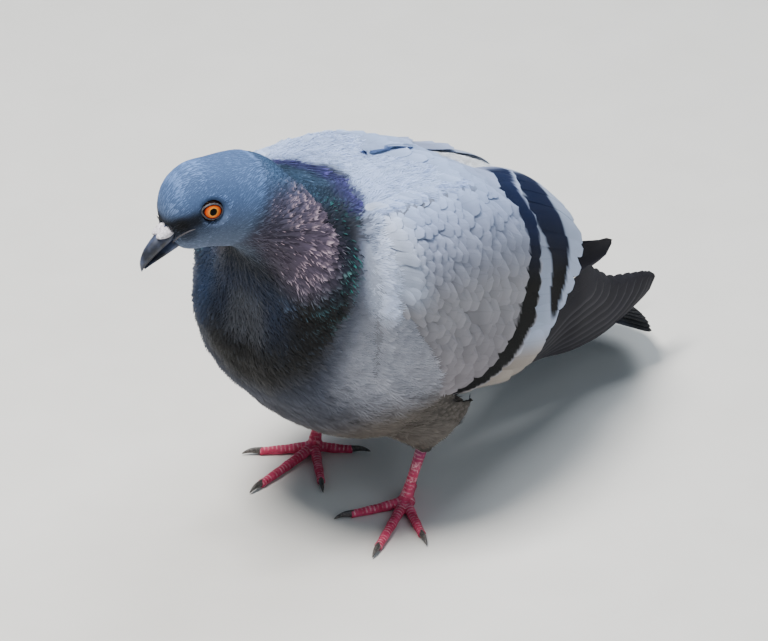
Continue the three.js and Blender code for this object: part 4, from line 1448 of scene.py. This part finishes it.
# ---------------------------------------------------------------- eyes
def eye_axes(side):
    """An eye's centre, its two directions across, level and upright but for its tilt, and its axis."""
    centre = turned(at(side * EYE["side"], EYE["ahead"], EYE["up"]))
    outward = normalised(head_direction(side, EYE["forward"], 0.06))
    level = normalised(np.cross(np.array([0, 0, 1.0]), outward))
    upright = np.cross(outward, level)
    cosine, sine = math.cos(EYE["tilt"]), side * math.sin(EYE["tilt"])
    return centre, cosine * level - sine * upright, cosine * upright + sine * level, outward


def flattened(out):
    """How far out a point of the eyeball is, with its front flattened."""
    return np.where(out > EYE["cap"], EYE["cap"] + (out - EYE["cap"]) * EYE["flatness"], out)


PUPIL = (0.001, 0.001, 0.001)
# The rings of the iris, from the pupil to the lids.
IRIS = [(0.4, "e9a13c"), (0.52, "e5701a"), (0.74, "c8430f"), (0.9, "7a1f0a"), (1.0, "1a0e0c")]


def eye_finish():
    """An orange iris with finer threads towards the pupil, under a wet surface."""
    material, sheet = new_material("eye")
    disc = sheet.attribute("disc", "Vector")
    x, y = sheet.part(disc, "X"), sheet.part(disc, "Y")
    radius = (x * x + y * y) ** 0.5
    across, tall = x * (1 / EYE["opening"][0]), y * (1 / EYE["opening"][1])
    edge = sheet.limited((across * across + tall * tall) ** 0.5, 0.48, 0.9)
    share = radius.maths("MAXIMUM", radius * 0.24, edge)
    angle = x.maths("ARCTAN2", y, x)
    spokes = sheet.node("ShaderNodeCombineXYZ", None, [angle * 4.0, radius * 0.5, 0.0])
    threads = sheet.noise(spokes, 3.0, 4.0, 0.7)
    stops = [(0.0, PUPIL), (0.37, PUPIL)] + [(stop, tuple(colour(code))) for stop, code in IRIS]
    ramp = sheet.node("ShaderNodeValToRGB", {"stops": stops}, [share], "Color")
    values = {
        "Base Color": sheet.scaled(ramp, 0.65 + 0.7 * threads),
        "Roughness": 0.3,
        "Coat Weight": 0.1,
        "Coat Roughness": 0.03,
        "Specular IOR Level": 0.02,
    }
    finish_surface(sheet, values)
    return material


def make_eye(side, material):
    """An eyeball with its front flattened, closer ringed there."""
    centre, level, upright, outward = eye_axes(side)
    polar = np.concatenate([np.linspace(0.004, 1.0, 30), np.linspace(1.08, math.pi - 0.01, 14)])
    out, across, up = ball(polar, 48)
    out = flattened(out)
    unit = across[..., None] * level + up[..., None] * upright + out[..., None] * outward
    piece = solid(f"eyeball_{SIDES[side]}", *loft(centre + EYE["radius"] * unit), material)
    disc = np.stack([across, up, out], -1).reshape(-1, 3) * EYE["radius"]
    store(piece.data, "disc", "FLOAT_VECTOR", disc)
    return piece


def rim_finish():
    """The thin bare skin round the eye."""
    material, sheet = new_material("eye_rim")
    pores = sheet.noise(sheet.object_place(), 1400.0, 3.0, 0.6)
    tone = sheet.mix(sheet.limited(pores, 0.3, 0.7), "26272d", "5c585d")
    values = {"Base Color": tone, "Roughness": 0.55, "Specular IOR Level": 0.4}
    finish_surface(sheet, values, height=pores, strength=0.5, distance=0.0002)
    return material


def make_rim(side, material):
    """The lids: a narrow ring, a little drawn out towards the bill."""
    centre, level, upright, outward = eye_axes(side)
    forward = -np.sign(level[1])
    rings = []
    for angle in full_turn(56):
        cosine, sine = math.cos(angle), math.sin(angle)
        stretch = 1 + 0.1 * max(0.0, cosine * forward) ** 6 + 0.05 * max(0.0, -cosine * forward) ** 6
        across, up = EYE["opening"][0] * cosine * stretch, EYE["opening"][1] * sine
        opening = math.hypot(across, up)
        spoke = (across * level + up * upright) / opening
        height = EYE["radius"] * flattened(math.sqrt(1 - (opening / EYE["radius"]) ** 2))
        wide = 0.36 * (1 + 0.12 * math.sin(angle * 17))
        ring = []
        for turn in full_turn(12):
            off = opening + wide * (1 + math.cos(turn)) - 0.2
            out = height + 0.1 + 0.42 * math.sin(turn) - 0.3 * (1 + math.cos(turn))
            ring.append(centre + spoke * off + outward * out)
        rings.append(ring)
    rings = np.array(rings)
    faces = grid_faces(*rings.shape[:2], wrap=True, ring=True)
    return solid(f"lids_{SIDES[side]}", rings.reshape(-1, 3), faces, material)


# ---------------------------------------------------------------- bill
# Sections of each half of the bill: how far along, its top, its bottom and half its width.
UPPER_BILL = [
    [BILL["root"], 6.3, 0.5, 5], [0, 6.0, 0.1, 4.5], [4.0, 5.6, -0.2, 3.8], [7.2, 5.2, -0.45, 3.3],
    [10.9, 4.3, -0.75, 2.7], [14.2, 2.5, -1.1, 1.9], [16.1, 0.7, -1.7, 1.2], [17.5, -2.0, -2.5, 0.35],
]
LOWER_BILL = [
    [BILL["root"], 0.3, -5.2, 4.7], [0, -0.05, -4.6, 4.2], [5, -0.45, -3.8, 3.4],
    [9.5, -0.8, -3.0, 2.6], [13, -1.15, -2.4, 1.85], [15.9, -1.9, -2.3, 0.8],
]


def bill_axes():
    """The middle of the bill's root, and its directions forward, to the left and up."""
    forward = head_direction(0, math.cos(BILL["pitch"]), math.sin(BILL["pitch"]))
    side = head_direction(1, 0, 0)
    return turned(at(0, BILL["ahead"], BILL["up"])), forward, side, np.cross(forward, side)


def on_bill(local):
    """Points given along the bill, to its left and up, on the bird's own axes."""
    centre, forward, side, up = bill_axes()
    local = np.asarray(local, float)
    return centre + local[..., :1] * forward + local[..., 1:2] * side + local[..., 2:3] * up


def make_bill(name, table, outer, material):
    """One half of the bill. It is narrower on its outer side, 1 for the top and -1 for the bottom."""
    angles = full_turn(28)
    cosine, sine = np.cos(angles), np.sin(angles)
    narrow = 1 - 0.22 * np.clip(cosine * outer, 0, 1) ** 2
    rings = []
    for along, top, bottom, half in evened(table, 40):
        up = (top + bottom) / 2 + (top - bottom) / 2 * cosine
        side = half * np.sign(sine) * np.abs(sine) ** 0.85 * narrow
        rings.append(np.stack([np.full_like(up, along), side, up], -1))
    return solid(name, *loft(on_bill(np.array(rings))), material)


def bill_finish():
    """Dark horn with a bluish bloom in patches and a fine grain."""
    material, sheet = new_material("horn")
    place = sheet.object_place()
    grain = sheet.noise(place, 700.0, 4.0, 0.6)
    cloud = sheet.noise(place, 160.0, 2.0)
    tone = sheet.mix(sheet.limited(cloud, 0.35, 0.7), "1f222b", "4c5672")
    values = {
        "Base Color": sheet.scaled(tone, 0.8 + 0.4 * grain),
        "Roughness": 0.34 + 0.2 * grain,
        "Specular IOR Level": 0.5,
    }
    finish_surface(sheet, values, height=grain, strength=0.25, distance=0.0001)
    return material


# The bulbs over the nostrils: half their sizes, their middle from the bill's root, and how they slope.
CERE = {"lobe": (5.6, 2.6, 2.4), "along": -1.3, "side": 1.95, "up": 4.2, "slope": -0.33}


def make_cere(material):
    """Two bulbs of bare skin over the nostrils, grown together along the middle."""
    bodies = []
    for side in SIDES:
        bulb = np.stack(ball(np.linspace(0.02, math.pi - 0.02, 28), 36), -1) * CERE["lobe"]
        bulb[..., 2] = bulb[..., 2] * (1 - 0.2 * rise(bulb[..., 0], 0.5, 4.3))
        bulb[..., 2] -= CERE["slope"] * bulb[..., 0]
        bodies.append(loft(on_bill(bulb + (CERE["along"], side * CERE["side"], CERE["up"]))))
    piece = faced_outwards(make_piece("cere_bulbs", *several(bodies)))
    return finished(remeshed(piece, CERE_VOXEL, 4), material)


def cere_finish():
    """Chalky skin, crinkled and dusted, greyer in its folds."""
    material, sheet = new_material("chalky_skin")
    place = sheet.object_place()
    crinkle = sheet.noise(place, 900.0, 5.0, 0.65)
    tone = sheet.mix(sheet.limited(crinkle, 0.35, 0.65), "a8a1a8", "ebe8ee")
    values = {"Base Color": tone, "Roughness": 0.85, "Specular IOR Level": 0.25}
    relief = crinkle + 0.4 * sheet.cells(place, 1300.0)
    finish_surface(sheet, values, height=relief, strength=0.14, distance=0.0002)
    return material


# The fold of skin behind the mouth on the bird's left, with the head straight (left, ahead, up).
GAPE = [(4.6, 106.2, 148.2), (6.4, 105.8, 150), (8.4, 105, 152.4), (10.6, 103.4, 154.6), (12, 101.8, 156),
        (13.2, 100, 156.8)]


def make_gape(side, skin_points, skin_normals, material):
    """The fold of skin from the bill's root back to under the eye."""
    line = []
    for stop in turned(evened(GAPE, 24) * (side, -1, 1)):
        nearest = np.argmin(np.linalg.norm(skin_points - stop, axis=1))
        normal = skin_normals[nearest]
        line.append(stop + normal * ((skin_points[nearest] - stop) @ normal + 0.6))
    line = np.array(line)
    for _ in range(6):
        line[1:-1] = (line[:-2] + 2 * line[1:-1] + line[2:]) / 4
    share = np.linspace(0, 1, len(line))
    radii = 0.24 * np.sin(math.pi * np.clip(0.16 + 0.78 * share, 0, 1)) + 0.06
    rings = tube(line, radii, head_direction(side, 0.3, 0.2), sides=10)
    return solid(f"gape_{SIDES[side]}", *loft(rings), material)


# ---------------------------------------------------------------- legs
# Each foot: its ankle and shin (left, ahead), and each toe's heading in degrees and length without the claw.
FEET = {
    "left": {"ankle": (28.6, 5), "shin": (31.5, -3),
             "toes": {"inner": (-28, 24), "middle": (24, 37), "outer": (57, 26), "hind": (-150, 16)}},
    "right": {"ankle": (-30.4, -4), "shin": (-31.5, -12),
              "toes": {"inner": (48, 28), "middle": (5, 37), "outer": (-43, 23), "hind": (130, 16)}},
}
TOE_RADIUS = 2.15
HEM_UP = 24.0
SCUTE_PITCH = 1.75
SCUTE_RAISED = 0.28
TOE_RINGS = 15
SHANK_RINGS = 16
SHANK_REACH = 1.35  # where the shank ends under the feathers, with the ankle at 0 and the hem at 1
UPWARDS = at(0, 0, 1)
CLAW = {"length": 7.2, "radius": 1.5}


def toe_line(ankle, heading, length):
    """The middle line of a toe, which comes down from the ankle and lies along the floor."""
    share = np.linspace(0, 1, TOE_RINGS)
    angle = math.radians(heading)
    left = ankle[0] + math.sin(angle) * length * share
    ahead = ankle[1] + math.cos(angle) * length * share
    up = FLOOR_UP + TOE_RADIUS * (1 - 0.2 * share) - 0.1 + 1.4 * (1 - share) ** 3
    return np.stack([left, -ahead, up], -1)


def shank_line(foot):
    """The middle line of a shank, from the ankle up into the feathers."""
    share = np.linspace(0, SHANK_REACH, SHANK_RINGS)[:, None]
    heel = at(*foot["ankle"], FLOOR_UP + TOE_RADIUS + 2)
    hem = at(*foot["shin"], HEM_UP)
    return heel + (hem - heel) * share


def tube(line, radii, back, sides=18, squash=1.0):
    """Rings round a line of points. Their tops face the way that back points."""
    along = normalised(np.gradient(line, axis=0))
    up = normalised(back - along * (along @ back)[:, None])
    side = np.cross(along, up)
    angles = full_turn(sides)[None, :, None]
    radii = np.asarray(radii)[:, None, None]
    return line[:, None] + radii * (np.cos(angles) * up[:, None] + squash * np.sin(angles) * side[:, None])


def toe_radii(length):
    """A toe's radii along its line, narrower at its joints."""
    share = np.linspace(0, 1, TOE_RINGS)
    joints = 0.1 * np.abs(np.sin(share * math.pi * max(2, round(length / 9))))
    return TOE_RADIUS * (1.12 - 0.3 * share - joints)


SHANK_RADII = [(0, 3.1), (0.2, 2.45), (0.5, 2.3), (0.8, 2.6), (SHANK_REACH, 3.2)]
PAD = (4.0, 4.4, 2.85)  # half the sizes of the pad under the ankle


def leg_bodies(foot):
    """The toes, the shank and the pad under the ankle, as closed bodies that run into one another."""
    bodies = []
    for heading, length in foot["toes"].values():
        line = toe_line(foot["ankle"], heading, length)
        bodies.append(loft(tube(line, toe_radii(length), UPWARDS)))
    line = shank_line(foot)
    radii = smooth_between(SHANK_RADII, np.linspace(0, SHANK_REACH, SHANK_RINGS))
    bodies.append(loft(tube(line, radii, at(0, 1, 0), squash=0.88)))
    up, left, behind = ball(np.linspace(0.05, math.pi - 0.05, 14), 20)
    pad = np.stack([left, behind, up], -1) * PAD
    bodies.append(loft(at(*foot["ankle"], FLOOR_UP + 2.75) + pad))
    return bodies


def scuted(points, normals, foot):
    """How far each point of a leg is raised by its scutes, and how deep in a groove it lies."""
    lines = [(toe_line(foot["ankle"], *toe), UPWARDS) for toe in foot["toes"].values()]
    lines.append((shank_line(foot), at(0, 1, 0.12)))
    nearest = np.full(len(points), np.inf)
    raised, groove = np.zeros(len(points)), np.zeros(len(points))
    for line, back in lines:
        start, step = line[0], line[-1] - line[0]
        length = np.linalg.norm(step)
        run = (points - start) @ (step / length)
        off = np.linalg.norm(points - (start + np.outer(run, step / length)), axis=1)
        off = np.where((run < 1.5) | (run > length + 3), off + 50, off)
        facing = rise(normals @ back, -0.1, 0.35)
        phase = (run / SCUTE_PITCH) % 1.0
        plate = np.sin(math.pi * phase) ** 0.35 * (0.75 + 0.25 * phase)
        mine = off < nearest
        nearest = np.where(mine, off, nearest)
        raised = np.where(mine, facing * (plate - 0.45) * SCUTE_RAISED, raised)
        groove = np.where(mine, facing * (1 - rise(plate, 0.35, 0.8)), groove)
    far = nearest > 40
    return np.where(far, 0, raised), np.where(far, 0, groove)


def make_leg(name, foot, material):
    """A bare leg and foot as one surface with raised scutes, level where it stands on the floor."""
    piece = faced_outwards(make_piece(f"scaled_leg_{name}", *several(leg_bodies(foot))))
    mesh = remeshed(piece, LEG_VOXEL, 4).data
    points, normals = vertex_places(mesh), vertex_normals(mesh)
    raised, groove = scuted(points, normals, foot)
    points = points + normals * raised[:, None]
    points[:, 2] = np.maximum(points[:, 2], FLOOR_UP)
    move_vertices(mesh, points)
    store(mesh, "groove", "FLOAT", groove)
    store(mesh, "height", "FLOAT", (points[:, 2] - FLOOR_UP) / (HEM_UP - FLOOR_UP))
    return finished(piece, material)


def foot_finish():
    """Pink-red scaled skin, paler and dusty in the grooves between the scutes, purple higher up."""
    material, sheet = new_material("scaled_skin")
    place = sheet.object_place()
    groove = sheet.attribute("groove")
    height = sheet.attribute("height")
    cloud = sheet.noise(place, 260.0, 3.0)
    grain = sheet.noise(place, 1500.0, 3.0, 0.6)
    cells = sheet.cells(place, 900.0)
    fleck = sheet.noise(place, 420.0, 3.0, 0.6)
    tone = sheet.mix(sheet.limited(cloud, 0.3, 0.7), "b41c46", "dd5378")
    tone = sheet.mix(sheet.limited(height, 0.5, 0.95), tone, "641a4c")
    pale = 0.9 * groove * sheet.limited(fleck, 0.38, 0.62)
    scales = sheet.limited(fleck, 0.52, 0.64) * (1.0 - sheet.limited(cells, 0.0, 0.3)) * 0.8
    scales = scales * sheet.limited(height, 0.1, 0.25) * (1.0 - sheet.limited(height, 0.7, 0.95))
    tone = sheet.mix(pale.maths("MAXIMUM", pale, scales), tone, "eec3c8")
    values = {
        "Base Color": sheet.scaled(tone, 0.8 + 0.4 * grain),
        "Roughness": 0.5 + 0.2 * grain,
        "Specular IOR Level": 0.35,
    }
    relief = sheet.limited(cells, 0.0, 0.12) * 0.5 + grain * 0.5
    finish_surface(sheet, values, height=relief, strength=0.5, distance=0.0002)
    return material


def make_claw(name, toe_name, foot, material):
    """A claw that arches from inside the end of its toe down to the floor."""
    heading, length = foot["toes"][toe_name]
    angle = math.radians(heading)
    share = np.linspace(-0.22, 1, 16)
    reach = length + 0.3 + CLAW["length"] * share
    share = np.clip(share, 0, 1)
    left = foot["ankle"][0] + math.sin(angle) * reach
    ahead = foot["ankle"][1] + math.cos(angle) * reach
    up = FLOOR_UP + 1.95 + (0.7 * np.sin(math.pi * share) - 1.15 * share)
    line = np.stack([left, -ahead, up], -1)
    radii = CLAW["radius"] * np.sqrt(np.clip(1 - share ** 1.7, 0.01, 1)) * (1 - 0.35 * share)
    rings = tube(line, radii, UPWARDS, sides=14, squash=0.82)
    rings[..., 2] = np.maximum(rings[..., 2], FLOOR_UP + 0.02)
    return solid(f"nail_{name}_{toe_name}", *loft(rings), material)


def claw_finish():
    """Dark horn with a paler grain."""
    material, sheet = new_material("claw_horn")
    grain = sheet.noise(sheet.object_place(), 1200.0, 4.0, 0.6)
    tone = sheet.mix(sheet.limited(grain, 0.35, 0.75), "2b2725", "6d6763")
    values = {"Base Color": tone, "Roughness": 0.38 + 0.2 * grain, "Specular IOR Level": 0.5}
    finish_surface(sheet, values, height=grain, strength=0.3, distance=0.0001)
    return material


# ---------------------------------------------------------------- stage
# The camera: its angles in degrees, its distance in metres, how far to the right of the frame's middle and
# above it that it aims, and its lens and sensor in millimetres.
VIEW = {"azimuth": 42.0, "elevation": 30.0, "distance": 4.0, "aim": (0.00919, 0.0623), "lens": 450.9,
        "sensor": 36.0}
# The lamps: azimuth and elevation in degrees, distance and size in metres, power in watts, colour.
LAMPS = {
    "key": (-15, 68, 1.3, 0.4, 36, (1.0, 0.98, 0.95)),
    "fill": (75, 34, 1.6, 1.0, 5, (0.8, 0.9, 1.0)),
    "back": (190, 56, 1.5, 0.8, 14, (0.84, 0.92, 1.0)),
}
LIT_PLACE = (0, 0, 0.09)
FLOOR_HALF = 6.0
SKY = {"Color": (0.62, 0.8, 1.0, 1.0), "Strength": 0.2}


def direction(azimuth, elevation):
    """A direction by its angles in degrees. Azimuth 0 is in front of the bird."""
    azimuth, elevation = math.radians(azimuth), math.radians(elevation)
    level = math.cos(elevation)
    return Vector((math.sin(azimuth) * level, -math.cos(azimuth) * level, math.sin(elevation)))


def make_camera():
    """The camera, a long lens from the bird's left front."""
    back = direction(VIEW["azimuth"], VIEW["elevation"])
    azimuth = math.radians(VIEW["azimuth"])
    right = Vector((math.cos(azimuth), math.sin(azimuth), 0))
    up = back.cross(right)
    eye = Vector(ORIGIN) + back * VIEW["distance"]
    aim = Vector(ORIGIN) + right * VIEW["aim"][0] + up * VIEW["aim"][1]
    data = bpy.data.cameras.new("camera")
    data.sensor_width = VIEW["sensor"]
    data.lens = VIEW["lens"]
    camera = new_object("camera", data)
    camera.location = eye
    camera.rotation_euler = (aim - eye).to_track_quat("-Z", "Y").to_euler()
    bpy.context.scene.camera = camera


def make_lamp(name, azimuth, elevation, distance, size, power, tint):
    """A soft square lamp that faces the bird."""
    towards = direction(azimuth, elevation)
    data = bpy.data.lights.new(name, "AREA")
    data.size = size
    data.energy = power
    data.color = tint
    lamp = new_object(name, data)
    lamp.location = Vector(LIT_PLACE) + towards * distance
    lamp.rotation_euler = (-towards).to_track_quat("-Z", "Y").to_euler()


def make_floor():
    """The level floor under the feet, which is stage and no part of the model."""
    material, sheet = new_material("floor")
    speckle = sheet.noise(sheet.object_place(), 30.0, 2.0)
    finish_surface(sheet, {"Base Color": sheet.mix(speckle, "d9d6d0", "e3e0db"), "Roughness": 0.8})
    mesh = bpy.data.meshes.new("floor")
    corners = [(x * FLOOR_HALF, y * FLOOR_HALF, 0) for x, y in ((-1, -1), (1, -1), (1, 1), (-1, 1))]
    mesh.from_pydata(corners, [], [(0, 1, 2, 3)])
    floor = new_object("floor", mesh)
    mesh.materials.append(material)


def make_world():
    """A faint, even sky."""
    world = bpy.data.worlds.new("studio")
    world.use_nodes = True
    for name, value in SKY.items():
        world.node_tree.nodes["Background"].inputs[name].default_value = value
    bpy.context.scene.world = world


# ---------------------------------------------------------------- assembly
def settle(piece, slot, *nodes):
    """The piece belongs to the model: it rides on the body and may stand for solids."""
    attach(piece, "root")
    if nodes:
        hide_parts(*nodes)


make_camera()
make_world()
make_floor()
for name, values in LAMPS.items():
    make_lamp(name, *values)

skin = make_skin()
dress_skin(skin)
settle(finished(skin, skin_finish()), "plumage_grey", *FLESH)

tree = plumage_tree()
head_plume = plume_finish("head_plumage", 0.7, 0.16)
neck_plume = plume_finish("neck_plumage", 0.6, 0.5)
body_plume = plume_finish("body_plumage", 0.78, 0.28)
plumes = {kind: make_plume(f"{kind}_plume", bodies) for kind, bodies in PLUMES.items()}
COATS = [
    # name, plume, finish, spacing in millimetres, size, lift and stray in degrees, slot, seed
    ("coat_head", "fine", head_plume, 0.7, 1.0, 6, 6, "plumage_head", 3),
    ("coat_ruff", "scale", neck_plume, 1.5, 1.0, 9, 9, "plumage_neck", 4),
    ("coat_neck", "lance", neck_plume, 1.2, 1.0, 8, 10, "plumage_neck", 5),
    ("coat_breast", "soft", body_plume, 1.3, 1.0, 7, 10, "plumage_grey", 7),
    ("coat_belly", "soft", body_plume, 1.75, 1.05, 8, 10, "plumage_grey", 9),
    ("coat_back", "soft", body_plume, 1.5, 1.0, 5, 8, "plumage_grey", 11),
]
for name, kind, finish, spacing, size, lift, stray, slot, seed in COATS:
    coat = grow_coat(name, skin, tree, {
        "Plume": plumes[kind], "Finish": finish, "Cover": name.replace("coat_", "cover_"),
        "Spacing": spacing * MM, "Size": size, "Lift": math.radians(lift), "Stray": math.radians(stray),
        "Patch": BAKE_PATCH, "Seed": seed,
    })
    settle(coat, slot)
for shape in plumes.values():
    bpy.data.objects.remove(shape)

vane = vane_finish()
for side, word in SIDES.items():
    settle(make_wing(side, vane, WINGS_SEED + side), "plumage_grey", f"wing_{word}")
settle(make_tail(vane, TAIL_SEED), "plumage_tail", "tail")

eye = eye_finish()
rim = rim_finish()
horn = bill_finish()
fold = cere_finish()
skin_points, skin_normals = vertex_places(skin.data), vertex_normals(skin.data)
for side, word in SIDES.items():
    settle(make_eye(side, eye), "eye", f"eye_{word}")
    settle(make_rim(side, rim), "cere")
    settle(make_gape(side, skin_points, skin_normals, rim), "cere")
settle(make_bill("horn_upper", UPPER_BILL, 1, horn), "bill", "bill_upper")
settle(make_bill("horn_lower", LOWER_BILL, -1, horn), "bill", "bill_lower")
settle(make_cere(fold), "cere", "cere")

scaled = foot_finish()
nail = claw_finish()
for word, foot in FEET.items():
    settle(make_leg(word, foot, scaled), "foot_skin", f"leg_{word}")
    for toe_name in foot["toes"]:
        settle(make_claw(word, toe_name, foot, nail), "claw", f"claw_{word}_{toe_name}")
